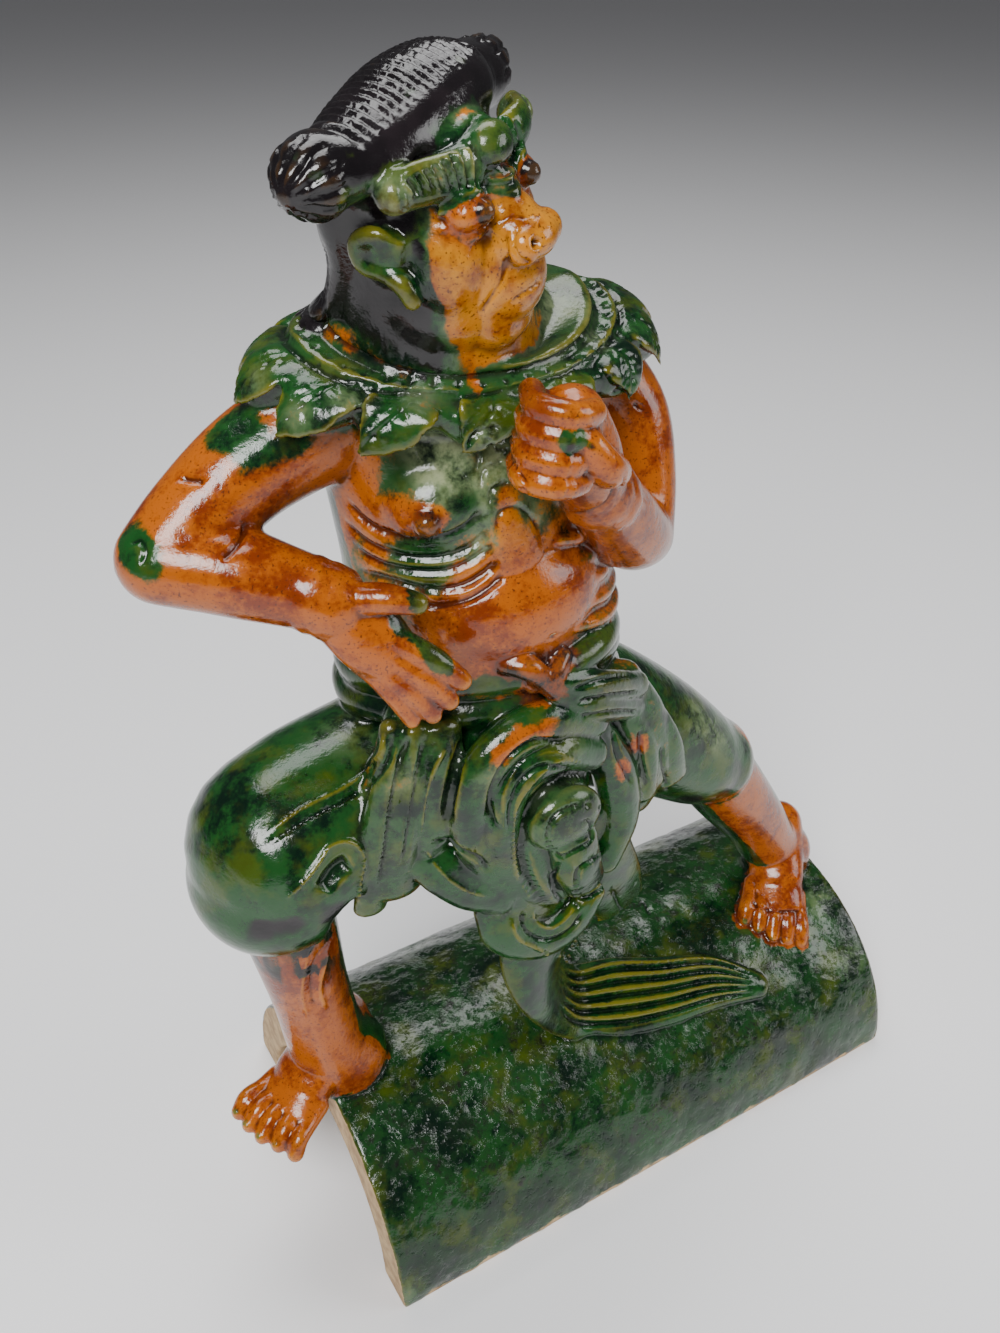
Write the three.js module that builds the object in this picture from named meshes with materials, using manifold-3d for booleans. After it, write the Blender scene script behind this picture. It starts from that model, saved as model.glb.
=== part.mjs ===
// A glazed roof-ridge ornament: a striding guardian on a half-round ridge tile.
// The figure is built of moulded and hand-worked clay, luted to the tile while damp, then glazed and
// fired with it, so figure and tile are one solid. Millimetres, +Z up. The figure faces -Y, the ridge
// runs along X, and the origin is under the middle of the whole ornament's footprint.
import * as THREE from "three";
import { mergeVertices } from "three/addons/utils/BufferGeometryUtils.js";
import Module from "manifold-3d";

const wasm = await Module();
wasm.setup();

// Ridge tile: a half-round arch, open underneath and at both ends
const TILE_LENGTH = 276;
const TILE_WIDTH = 160;
const TILE_HEIGHT = 76;
const TILE_WALL = 21;
const TILE_FACETS = 24;
const FOOT_SINK = 3;

// Figure, from the crown of the tile to the top of the hair. Pose and carving are shares of this
// height: every place and radius below is in figure units, 400 of them to the height.
const FIGURE_HEIGHT = 400;
const UNIT = FIGURE_HEIGHT / 400;

const GLAZE = { color: 0x2f5a2c, roughness: 0.22, metalness: 0 };

const lerp = THREE.MathUtils.lerp;
const rad = THREE.MathUtils.degToRad;
const SIDEWAYS = new THREE.Vector3(1, 0, 0);
const FRONTWARDS = new THREE.Vector3(0, -1, 0);
const UPWARDS = new THREE.Vector3(0, 0, 1);

// A point of the figure, measured from the middle of the tile's crown
const at = (x, y, z) => new THREE.Vector3(x * UNIT, y * UNIT, TILE_HEIGHT + z * UNIT);

// Top of the tile at a distance y from the ridge line, in millimetres
function tileTop(y) {
  const share = Math.min(Math.abs(y) / (TILE_WIDTH / 2), 1);
  return TILE_HEIGHT * Math.sqrt(1 - share * share);
}

// A closed three.js geometry as a solid
function solid(geometry) {
  const bare = geometry.clone();
  bare.deleteAttribute("normal");
  bare.deleteAttribute("uv");
  const merged = mergeVertices(bare, 1e-4);
  const index = merged.index.array;
  const kept = [];
  for (let i = 0; i < index.length; i += 3) {
    const [a, b, c] = index.slice(i, i + 3);
    if (a !== b && b !== c && c !== a) kept.push(a, b, c);
  }
  const mesh = new wasm.Mesh({
    numProp: 3,
    vertProperties: new Float32Array(merged.attributes.position.array),
    triVerts: new Uint32Array(kept),
  });
  return new wasm.Manifold(mesh);
}

// A rounded limb, roll or fold: a capsule bent along a smooth curve through its stations.
// A station is three coordinates in the frame of "place", then the half size towards "wide" and the
// half size across it. swell(t, angle) raises or lowers the surface as a share of the radius.
function limb(stations, options = {}) {
  const { place = at, wide = SIDEWAYS, sides = 8, steps = 6, caps = 2, swell = () => 1 } = options;
  const path = new THREE.CatmullRomCurve3(stations.map(([a, b, c]) => place(a, b, c)));
  const sizes = new THREE.CatmullRomCurve3(
    stations.map(([, , , size, other = size]) => new THREE.Vector3(size * UNIT, other * UNIT, 0)),
  );
  const geometry = new THREE.CapsuleGeometry(1, 1, caps, sides, steps);
  const position = geometry.attributes.position;
  const vertex = new THREE.Vector3();
  for (let i = 0; i < position.count; i++) {
    vertex.fromBufferAttribute(position, i);
    const along = THREE.MathUtils.clamp(vertex.y, -0.5, 0.5);
    const t = along + 0.5;
    const tangent = path.getTangent(t);
    const size = sizes.getPoint(t);
    const across = wide.clone().addScaledVector(tangent, -wide.dot(tangent)).normalize();
    const through = new THREE.Vector3().crossVectors(across, tangent);
    const lift = swell(t, Math.atan2(vertex.z, vertex.x));
    const spot = path
      .getPoint(t)
      .addScaledVector(across, vertex.x * size.x * lift)
      .addScaledVector(tangent, (vertex.y - along) * Math.min(size.x, size.y))
      .addScaledVector(through, vertex.z * size.y * lift);
    position.setXYZ(i, spot.x, spot.y, spot.z);
  }
  return solid(geometry);
}

// An ellipsoid with its half sizes along three axes
function blob(centre, sizes, axes = null, across = 10, down = 7) {
  const geometry = new THREE.SphereGeometry(1, across, down);
  geometry.scale(...sizes.map((size) => size * UNIT));
  if (axes) geometry.applyMatrix4(new THREE.Matrix4().makeBasis(...axes));
  geometry.translate(centre.x, centre.y, centre.z);
  return solid(geometry);
}

const join = (pieces) => wasm.Manifold.union(pieces);

// Ridge tile, swept along the ridge from its arched section
function ridgeTile() {
  const arch = (halfWidth, height, turn) =>
    new THREE.Vector2(-halfWidth * Math.cos(Math.PI * turn), height * Math.sin(Math.PI * turn));
  const outer = [];
  const inner = [];
  for (let i = 0; i <= TILE_FACETS; i++) {
    outer.push(arch(TILE_WIDTH / 2, TILE_HEIGHT, i / TILE_FACETS));
    inner.push(arch(TILE_WIDTH / 2 - TILE_WALL, TILE_HEIGHT - TILE_WALL, 1 - i / TILE_FACETS));
  }
  const section = new THREE.Shape([...outer, ...inner]);
  const geometry = new THREE.ExtrudeGeometry(section, { depth: TILE_LENGTH, bevelEnabled: false });
  geometry.rotateX(Math.PI / 2);
  geometry.rotateZ(Math.PI / 2);
  geometry.translate(-TILE_LENGTH / 2, 0, 0);
  return solid(mergeVertices(geometry));
}

// Trunk: pelvis, waist, round belly, chest and shoulders
const TRUNK = [
  [-52, 4, 150, 42, 30],
  [-54, 1, 186, 48, 37],
  [-58, -4, 214, 50, 42],
  [-62, -4, 244, 46, 37],
  [-63, 0, 272, 48, 35],
  [-62, 3, 294, 54, 30],
  [-68, 0, 310, 34, 25],
];

// A point on the trunk's skin at a height; angle 0 is the middle of the front and grows towards the
// figure's right
function trunkSkin(height, angle, lift) {
  const above = TRUNK.findIndex((station) => station[2] >= height);
  const low = TRUNK[Math.max(above - 1, 0)];
  const share = (height - low[2]) / (TRUNK[above][2] - low[2]);
  const [x, y, , width, depth] = low.map((value, i) => lerp(value, TRUNK[above][i], share));
  return at(
    x - (width + lift) * Math.sin(rad(angle)),
    y - (depth + lift) * Math.cos(rad(angle)),
    height,
  );
}

function trunk() {
  const pieces = [limb(TRUNK, { sides: 12, steps: 7, caps: 1 })];
  pieces.push(blob(trunkSkin(228, 0, -20), [35, 26, 27], null, 10, 6));
  for (const side of [1, -1]) {
    pieces.push(blob(trunkSkin(268, 33 * side, -11), [20, 17, 16], null, 8, 5));
    pieces.push(blob(trunkSkin(267, 36 * side, 6), [4.2, 4.2, 4.2], null, 5, 4));
    // Ribs, from the breastbone round to the flank
    for (let i = 0; i < 3; i++) {
      const low = 250 - i * 10;
      const rib = [16, 48, 84].map((angle, j) => [low - j * 4, angle * side, 1, 3.4]);
      pieces.push(limb(rib, { place: trunkSkin, sides: 4, steps: 3, caps: 1 }));
    }
  }
  // Windpipe, ringed down the breastbone
  const RINGS = 4;
  pieces.push(limb(
    [[290, 13, -2, 8, 5], [272, 8, -1, 9, 6], [252, 2, -1, 8, 5]],
    { place: trunkSkin, sides: 6, steps: 2 * RINGS, caps: 1, swell: (t) => 1 + 0.14 * Math.cos(t * RINGS * 2 * Math.PI) },
  ));
  return join(pieces);
}

// Head frame: turned to its left, and leaning to its right
const HEAD = at(-83.5, -17, 356);
const HEAD_TURN = rad(28);
const HEAD_LEAN = rad(12);
const FORWARD = new THREE.Vector3(Math.sin(HEAD_TURN), -Math.cos(HEAD_TURN), 0);
const RIGHT = new THREE.Vector3(-Math.cos(HEAD_TURN), -Math.sin(HEAD_TURN), 0)
  .applyAxisAngle(FORWARD, HEAD_LEAN);
const UP = new THREE.Vector3().crossVectors(RIGHT, FORWARD);
const HEAD_AXES = [FORWARD, UP, RIGHT];

// A point of the head: forward, to its right, and up from its middle
const face = (forward, right, up) =>
  HEAD.clone()
    .addScaledVector(FORWARD, forward * UNIT)
    .addScaledVector(RIGHT, right * UNIT)
    .addScaledVector(UP, up * UNIT);

// A lump of the head with its half sizes forward, up and to the side
const lump = (centre, sizes, across = 8, down = 6) =>
  blob(face(...centre), sizes, HEAD_AXES, across, down);

function head() {
  const pieces = [
    limb(
      [[0, 0, 14, 25, 25], [2, 0, 1, 26, 26], [7, 0, -13, 24, 23], [12, 0, -26, 17, 18], [14, 0, -32, 11, 12]],
      { place: face, wide: RIGHT, sides: 12, steps: 5 },
    ),
    lump([20, 0, -16], [16, 16, 15], 8, 6),
    lump([15, 0, 17], [11, 9, 13], 6, 5),
    limb([[23, 0, 12, 5, 4], [28.5, 0, 4, 7, 6], [32.5, 0, -3.5, 10, 6.5]], { place: face, wide: RIGHT, steps: 2, caps: 1 }),
    limb([[-81, -13, 345, 26, 25], [-73, -6, 306, 32, 28]], { sides: 8, steps: 1, caps: 1 }),
    limb([[28, -9, -24, 3], [34, 0, -20, 3.4], [28, 9, -24, 3]], { place: face, wide: UP, sides: 4, steps: 2, caps: 1 }),
  ];
  for (const side of [1, -1]) {
    pieces.push(lump([15, 14 * side, -8], [11, 16, 11], 6, 5));
    pieces.push(lump([22.5, 13 * side, 7.5], [7, 5.5, 7.5], 6, 4));
    pieces.push(brow(side), ear(side));
  }
  const nostrils = [1, -1].map((side) => lump([39, 5.6 * side, -4], [4.5, 2.6, 2.6], 4, 3));
  return join(pieces).subtract(join(nostrils));
}

// A comb-like eyebrow, its ribs upright, that sweeps out and back into a curl
function brow(side) {
  const RIBS = 6;
  const comb = (t) => 1 + 0.12 * Math.cos(t * RIBS * 2 * Math.PI);
  const flare = side < 0 ? 3.5 : 0;
  const sweep = limb(
    [
      [22, 5 * side, 15, 5, 4], [21, 12 * side, 18, 8, 5],
      [17 + flare, 20 * side, 18, 7, 5], [12 + flare, 26 * side, 17, 5, 4.5],
    ],
    { place: face, wide: UP, sides: 5, steps: 2 * RIBS, caps: 1, swell: comb },
  );
  return join([sweep, lump([11 + flare, 27 * side, 16], [5.5, 5.5, 5.5], 5, 4)]);
}

// A long ear, its rim bent forward into a heavy lobe
function ear(side) {
  return limb(
    [
      [7, 25 * side, 2, 3.5], [0, 28 * side, 2, 4.5], [0, 29 * side, -4, 4],
      [7, 28 * side, -7, 4.2], [12, 27 * side, -12, 4],
    ],
    { place: face, wide: RIGHT, sides: 5, steps: 5, caps: 1 },
  );
}

// Hair combed back over the crown into a transverse roll with a knot at each end
function hair() {
  const STRANDS = 11;
  const combed = (t) => 1 + 0.03 * Math.cos(t * STRANDS * 2 * Math.PI);
  const roll = limb(
    [
      [-6, 41, 22, 8, 8], [-6, 35, 22, 11.5, 10.5], [-4, 27, 22, 13.5, 9.5], [-3, 14, 23.5, 17, 10.5],
      [-3, -4, 25.5, 18, 12], [-3, -18, 25, 17, 12], [-4, -29, 22, 12, 10], [-4, -37, 21, 11.5, 10], [-4, -43, 22, 8, 8],
    ],
    { place: face, wide: FORWARD, sides: 8, steps: 2 * STRANDS, caps: 1, swell: combed },
  );
  const cap = lump([0, 0, 14], [19, 13, 26.5], 10, 5);
  const back = limb(
    [[-8, 0, 18, 26, 15], [-13, 0, 2, 26, 15], [-15, 0, -12, 24, 13], [-24, 0, -26, 23, 8], [-39, 0, -36, 23, 4]],
    { place: face, wide: RIGHT, sides: 8, steps: 4, caps: 1 },
  );
  return join([roll, cap, back]);
}

// Leaf cape round the shoulders. Angle 0 is at the front and grows towards the figure's right; share
// is 0 at the neck and 1 at the hem.
const CAPE = { x: -64, y: -1, neck: 320, hem: 303, droop: 11 };

function capeSkin(angle, share, lift) {
  const across = lerp(36, 74, share) + lift;
  const through = lerp(30, 43, share) + lift;
  const fall = lerp(CAPE.neck, CAPE.hem, Math.max(share, 0) ** 1.6);
  return at(
    CAPE.x - across * Math.sin(rad(angle)),
    CAPE.y - through * Math.cos(rad(angle)),
    fall + lift - CAPE.droop * Math.max(Math.cos(rad(angle)), 0),
  );
}

// One sheet of clay, worked into a neck roll, a raised band and a ring of leaves with free tips
function cape() {
  const LEAVES = 14;
  const PROFILE = [
    [-0.3, 2, 2], [0, 4, 4], [0.12, 4.5, 4.5], [0.23, -1, -1], [0.4, 3, 3], [0.5, -1, -1], [0.74, 3, -1], [1, -1, -3], [0.62, -9, -9],
  ];
  const NOTCH = 0.68;
  const geometry = new THREE.SphereGeometry(1, 2 * LEAVES, PROFILE.length + 1);
  const position = geometry.attributes.position;
  for (let i = 0; i < position.count; i++) {
    const row = Math.floor(i / (2 * LEAVES + 1));
    const column = i % (2 * LEAVES + 1);
    const angle = 90 - (180 * column) / LEAVES;
    const [share, tip, notch] = PROFILE[Math.min(Math.max(row - 1, 0), PROFILE.length - 1)];
    const onTip = column % 2 === 0;
    const spread = !onTip && share > 0.9 ? share * NOTCH : share;
    let spot = capeSkin(angle, spread, onTip ? tip : notch);
    if (row === 0) spot = at(CAPE.x, CAPE.y, CAPE.neck + 6);
    if (row > PROFILE.length) spot = at(CAPE.x, CAPE.y, CAPE.hem - 26);
    position.setXYZ(i, spot.x, spot.y, spot.z);
  }
  return solid(geometry);
}

// Arms: the right one bent out with its hand on the waist, the left one raised before the chest
function arms() {
  const bracelet = (near, far) =>
    limb([[...near, 12.5, 11.5], [...far, 12.5, 11.5]], { wide: UPWARDS, sides: 8, steps: 1, caps: 1 });
  return join([
    limb(
      [[-113, 3, 290, 19, 19], [-136, 2, 281, 17, 17], [-156, -1, 269, 15, 15.5], [-168, -4, 261, 14, 14]],
      { wide: FRONTWARDS, steps: 4 },
    ),
    limb(
      [[-168, -5, 261, 14, 13.5], [-150, -15, 257, 14.5, 14], [-136, -24, 252, 12, 12.5], [-125, -31, 248, 10.5, 11]],
      { wide: FRONTWARDS, steps: 4 },
    ),
    limb(
      [[-10, 3, 288, 18, 17], [0, -5, 273, 16, 15.5], [1, -14, 252, 14.5, 14], [-3, -23, 235, 13, 12.5]],
      { wide: FRONTWARDS, steps: 4 },
    ),
    limb(
      [[-3, -23, 234, 13, 12.5], [-14, -32, 242, 13.5, 13.5], [-28, -42, 257, 12, 13], [-42, -50, 272, 10.5, 11]],
      { wide: FRONTWARDS, steps: 4 },
    ),
    bracelet([-130, -28, 249.5], [-126, -31, 248]),
    bracelet([-39, -48, 269], [-42, -50, 272]),
  ]);
}

// The right hand lies on the waist, its fingers towards the belt knot and its thumb up
function openHand() {
  const FINGERS = [
    [-111, -43, 236, -93, -53, 220, 4.4],
    [-113, -43, 231, -97, -52, 213, 4.3],
    [-116, -42, 227, -102, -50, 208, 4.1],
    [-118, -40, 224, -108, -47, 206, 3.6],
  ];
  const pieces = [
    limb([[-126, -31, 247, 9, 10], [-117, -39, 236, 7, 12], [-112, -42, 230, 6, 10]], { wide: FRONTWARDS, steps: 2, caps: 1 }),
    limb([[-122, -36, 250, 5], [-113, -43, 251, 5], [-105, -47, 249, 3.8]], { sides: 5, steps: 2, caps: 1 }),
  ];
  for (const [x, y, z, tipX, tipY, tipZ, size] of FINGERS) {
    const bend = [lerp(x, tipX, 0.5), lerp(y, tipY, 0.5) - 1.5, lerp(z, tipZ, 0.5) + 1.5, size];
    pieces.push(limb([[x, y, z, size], bend, [tipX, tipY, tipZ, size * 0.8]], { sides: 5, steps: 2, caps: 1 }));
  }
  return join(pieces);
}

// The left hand is a fist, its four fingers rolled in and its thumb laid across them
function fist() {
  const pieces = [
    limb([[-45, -51, 275, 11], [-54, -56, 290, 12, 13], [-60, -58, 302, 11, 12]], { wide: FRONTWARDS, steps: 2, caps: 1 }),
    limb([[-48, -66, 287, 5], [-55, -71, 292, 5.5], [-61, -71, 300, 4.6]], { sides: 5, steps: 2, caps: 1 }),
  ];
  const FINGERS = 4;
  pieces.push(limb(
    [[-65, -59, 311, 9, 6], [-68, -60, 300, 12, 9], [-69, -61, 288, 9, 6]],
    {
      wide: FRONTWARDS, sides: 6, steps: 2 * FINGERS, caps: 1,
      swell: (t) => 1 - 0.1 * Math.cos(t * FINGERS * 2 * Math.PI),
    },
  ));
  return join(pieces);
}

// Legs: the stance follows the tile, with a foot at each end of it
const HALF_LENGTH = TILE_LENGTH / 2;
const standAt = (x, y, z) => new THREE.Vector3(x, y * UNIT, tileTop(y * UNIT) - FOOT_SINK + z * UNIT);
const RIGHT_ANKLE = standAt(-HALF_LENGTH + 5 * UNIT, -5, 17);
const LEFT_ANKLE = standAt(HALF_LENGTH - 27 * UNIT, -5, 17);
const RIGHT_KNEE = new THREE.Vector3(RIGHT_ANKLE.x - 16 * UNIT, -8 * UNIT, TILE_HEIGHT + 134 * UNIT);
const LEFT_KNEE = new THREE.Vector3(LEFT_ANKLE.x - 56 * UNIT, -9 * UNIT, TILE_HEIGHT + 98 * UNIT);
const RIGHT_HIP = at(-70, 2, 156);
const LEFT_HIP = at(-36, 2, 160);

// A point part of the way from one joint to the next, moved sideways and up
const between = (from, to) => (share, dx, dz) =>
  from.clone().lerp(to, share).add(new THREE.Vector3(dx * UNIT, 0, dz * UNIT));

function foot(heel, heading, toeOut) {
  const ahead = new THREE.Vector3(Math.cos(rad(heading)), Math.sin(rad(heading)), 0);
  const aside = new THREE.Vector3(-ahead.y, ahead.x, 0);
  const on = (forward, sideways, lift) => {
    const spot = heel.clone().addScaledVector(ahead, forward * UNIT).addScaledVector(aside, sideways * UNIT);
    return spot.add(new THREE.Vector3(0, 0, tileTop(spot.y) - tileTop(heel.y) + lift * UNIT));
  };
  const pieces = [
    limb([[0, 0, 9, 12, 10], [14, 0, 9, 12, 11], [28, 0, 6, 14, 9], [38, 0, 4, 15, 7]], { place: on, wide: aside, steps: 3, caps: 1 }),
    limb([[0, 0, 20, 12, 14], [12, 0, 15, 13, 12], [26, 0, 10, 14, 9]], { place: on, wide: aside, sides: 6, steps: 2, caps: 1 }),
  ];
  for (let i = 0; i < 5; i++) {
    const spread = -13 + i * 6.5;
    const reach = 53 - Math.abs(i - toeOut) * 1.6;
    pieces.push(limb(
      [[36, spread, 5, 3.8], [46, spread * 1.08, 6.5, 4], [reach, spread * 1.12, 2, 3.7]],
      { place: on, sides: 5, steps: 2, caps: 1 },
    ));
  }
  return join(pieces);
}

function legs() {
  const right = between(RIGHT_KNEE, RIGHT_ANKLE);
  const left = between(LEFT_KNEE, LEFT_ANKLE);
  return join([
    limb(
      [[0, 0, 0, 20], [0.35, 0, 0, 18], [0.7, 0, 0, 16], [0.95, 1, 0, 17], [1.08, 5, 0, 20, 18]],
      { place: right, steps: 5, caps: 1 },
    ),
    limb(
      [[0, 0, 0, 19], [0.35, 1, 1, 18], [0.7, 2, 2, 16], [1, 2, 1, 15], [1.1, 6, 0, 16]],
      { place: left, steps: 5, caps: 1, wide: FRONTWARDS },
    ),
    foot(standAt(RIGHT_ANKLE.x + 10 * UNIT, 2, 0), 205, 1.6),
    foot(standAt(LEFT_ANKLE.x + 14 * UNIT, 1, 0), 229, 2),
  ]);
}

// Full breeches, gathered at the belt; the hem opens round each shin
function breeches() {
  const thigh = between(RIGHT_HIP, RIGHT_KNEE);
  const shin = between(RIGHT_KNEE, RIGHT_ANKLE);
  const other = between(LEFT_HIP, LEFT_KNEE);
  const balloon = join([
    limb(
      [[0, 0, -4, 30, 30], [0.38, 0, 2, 32, 31], [0.72, 2, 3, 35, 35], [0.97, 4, 3, 35, 36]],
      { place: thigh, wide: FRONTWARDS, sides: 10, steps: 5 },
    ),
    blob(shin(0.07, -1, 0), [30, 33, 28]),
  ]);
  const opening = join([
    blob(shin(0.34, 3, 0), [21, 22, 18], null, 8, 5),
    blob(shin(0.2, 16, 0).addScaledVector(FRONTWARDS, 27 * UNIT), [9, 16, 20], null, 8, 5),
  ]);
  const leftLeg = limb(
    [[0, 0, 0, 32, 32], [0.35, 0, 3, 32, 31], [0.68, 0, 3, 29, 27], [0.93, 0, 0, 26, 23], [1.03, 1, 0, 22, 20]],
    { place: other, wide: FRONTWARDS, sides: 10, steps: 5 },
  );
  return join([balloon.subtract(opening), leftLeg]);
}

// Belt of two rolls, lifted at the front; rise is up from its middle
const BELT = { x: -56, y: 0, z: 185, across: 48.5, through: 40 };

function beltSkin(angle, rise, lift) {
  return at(
    BELT.x - (BELT.across + lift) * Math.sin(rad(angle)),
    BELT.y - (BELT.through + lift) * Math.cos(rad(angle)),
    BELT.z + 6 * Math.sin(rad(angle)) + 12 * Math.max(Math.cos(rad(angle)), 0) + rise,
  );
}

function belt() {
  // A waist in the section parts the upper roll from the lower one
  const waisted = (t, angle) => 1 - 0.5 * Math.sin(angle) ** 4;
  return join([
    limb(
      Array.from({ length: 13 }, (_, i) => [i * 30, 0, 0.5, 12, 6.5]),
      { place: beltSkin, sides: 8, steps: 16, caps: 1, wide: UPWARDS, swell: waisted },
    ),
    limb([[-50, -47, 206, 5], [-34, -42, 207, 6], [-17, -24, 203, 6], [-11, -2, 198, 5]], { wide: UPWARDS, sides: 5, steps: 4, caps: 1 }),
    // Knot, and the two loops of its bow
    blob(at(-65, -47, 212), [7.5, 7, 6.5], null, 6, 4),
    blob(at(-57, -49, 202), [8, 7, 7], null, 6, 4),
    limb([[-54, -50, 204, 4], [-37, -50, 196, 6, 5], [-12, -40, 181, 5.5, 5]], { wide: UPWARDS, sides: 5, steps: 3, caps: 1 }),
    limb([[-54, -50, 199, 4], [-37, -50, 187, 6, 5], [-13, -40, 172, 5.5, 5]], { wide: UPWARDS, sides: 5, steps: 3, caps: 1 }),
  ]);
}

// Skirt panels either side of the sash, with raised pleats
function skirt() {
  const fold = (stations, steps = 3) => limb(stations, { wide: FRONTWARDS, sides: 5, steps, caps: 1 });
  return join([
    fold([[-94, -29, 190, 10, 16], [-104, -32, 156, 11, 18], [-112, -32, 124, 8, 14]]),
    fold([[-108, -33, 193, 5, 4], [-112, -37, 176, 6, 5], [-118, -37, 150, 6, 5.5], [-121, -33, 116, 4.5, 5]]),
    fold([[-102, -38, 193, 4, 3.5], [-104, -41, 176, 5, 4], [-109, -41, 154, 5, 4.5], [-112, -37, 127, 4, 4.5]]),
    fold([[-93, -40, 192, 5, 5], [-95, -43, 175, 6, 6], [-98, -42, 153, 6, 6], [-99, -38, 134, 4, 5]]),
    fold([[-18, -34, 180, 8, 12], [-8, -37, 156, 9, 15], [-4, -38, 134, 8, 13], [-6, -38, 121, 6, 8]]),
    fold([[-17, -42, 174, 3.5, 3], [-8, -45, 150, 4, 4], [-5, -44, 128, 3.5, 3.5]]),
    fold([[-4, -36, 170, 4, 3.5], [7, -40, 146, 5, 4.5], [12, -38, 126, 5, 6]]),
    // Long crease that curves over the right thigh
    fold([[-111, -32, 190, 4, 3], [-121, -38, 174, 5, 3.5], [-138, -41, 158, 4, 3.5], [-160, -37, 152, 3, 3]]),
  ]);
}

// Sash: two rolls that curl down from the knot round a cloud scroll, a flap and a curl below it, and
// long ribbons that sweep down to the tile and along it to the figure's left
function sash() {
  const roll = (stations, steps = 4) =>
    limb(stations, { wide: FRONTWARDS, sides: 5, steps, caps: 1 });
  const crown = TILE_HEIGHT / UNIT;
  const lying = (x, y, lift, halfWidth) => [x, y, tileTop(y * UNIT) / UNIT - crown + lift, 5, halfWidth];
  const ridged = (t, angle) => 1 + 0.09 * Math.cos(8 * angle);
  return join([
    roll([[-58, -36, 182, 12, 26], [-60, -42, 150, 12, 27], [-60, -44, 118, 10, 22], [-56, -42, 92, 9, 18]]),
    roll([
      [-40, -48, 176, 6, 5], [-60, -51, 187, 7, 6], [-79, -51, 184, 7, 6], [-88, -50, 169, 7, 6],
      [-87, -48, 151, 7, 6], [-80, -47, 131, 7, 6], [-74, -47, 113, 6, 5],
    ], 8),
    roll([
      [-40, -51, 165, 6, 5], [-58, -55, 174, 7, 5.5], [-71, -55, 171, 7, 5.5], [-77, -54, 155, 7, 5.5],
      [-73, -52, 135, 6, 5.5], [-67, -50, 118, 5, 5],
    ], 6),
    roll([[-32, -42, 170, 6, 6], [-22, -44, 147, 7, 7], [-18, -44, 122, 7, 7], [-25, -46, 104, 6, 6]]),
    blob(at(-53, -56, 147), [17, 8, 15.5], null, 8, 5),
    roll([[-43, -60, 134, 4, 5], [-52, -60, 121, 5, 6.5], [-53, -58, 106, 5, 6], [-43, -56, 98, 5, 5.5], [-34, -56, 108, 4, 4.5]], 5),
    roll([[-40, -61, 150, 4, 4], [-47, -62, 160, 4.5, 4], [-60, -61, 160, 4.5, 4], [-65, -60, 147, 4.5, 4], [-57, -61, 137, 4, 4]], 6),
    roll([[-104, -37, 144, 4, 5], [-95, -43, 132, 6, 9], [-84, -46, 121, 7, 9], [-72, -46, 110, 6, 7]], 3),
    roll([[-76, -44, 103, 6, 7], [-70, -48, 87, 7, 9], [-56, -50, 77, 7, 9], [-42, -51, 79, 6, 8], [-32, -50, 91, 5, 5]], 5),
    limb(
      [
        [-53, -42, 90, 6, 18], [-51, -41, 52, 6, 18], [-39, -35, 22, 6, 17], lying(-21, -29, 3, 17),
        lying(-2, -34, 2, 18), lying(20, -40, 2, 16), lying(46, -45, 1, 13), lying(70, -54, 0, 6),
      ],
      { wide: new THREE.Vector3(0, -0.6, 0.8), sides: 16, steps: 9, caps: 1, swell: ridged },
    ),
    // Pointed end of the sash, pleated, beside the ribbons
    roll([[-26, -42, 128, 4, 5], [-21, -41, 104, 5, 9], [-15, -39, 78, 4, 12], [-9, -36, 58, 3, 12]], 3),
    roll([[-22, -46, 124, 3, 3], [-13, -44, 98, 3.5, 3.5], [-4, -41, 72, 3, 3], [1, -39, 58, 2.5, 2.5]], 3),
  ]);
}

const figure = join([
  trunk(), head(), hair(), cape(), arms(), openHand(), fist(), legs(), breeches(), belt(), skirt(), sash(),
]);

// One fired piece, in one node
function fired(body) {
  const mesh = body.getMesh();
  const geometry = new THREE.BufferGeometry();
  geometry.setAttribute("position", new THREE.BufferAttribute(new Float32Array(mesh.vertProperties), 3));
  geometry.setIndex(new THREE.BufferAttribute(new Uint32Array(mesh.triVerts), 1));
  geometry.computeVertexNormals();
  return geometry;
}

const guardian = new THREE.Mesh(fired(ridgeTile().add(figure)), new THREE.MeshStandardMaterial(GLAZE));
guardian.name = "ridge_guardian";

const footprint = new THREE.Box3().setFromObject(guardian);
const ornament = new THREE.Group();
ornament.position.x = -(footprint.min.x + footprint.max.x) / 2;
ornament.add(guardian);

export default ornament;
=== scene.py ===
import math

import bmesh
import bpy
import numpy as np
from mathutils import Matrix, Vector, kdtree, noise
from mathutils.bvhtree import BVHTree


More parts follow.
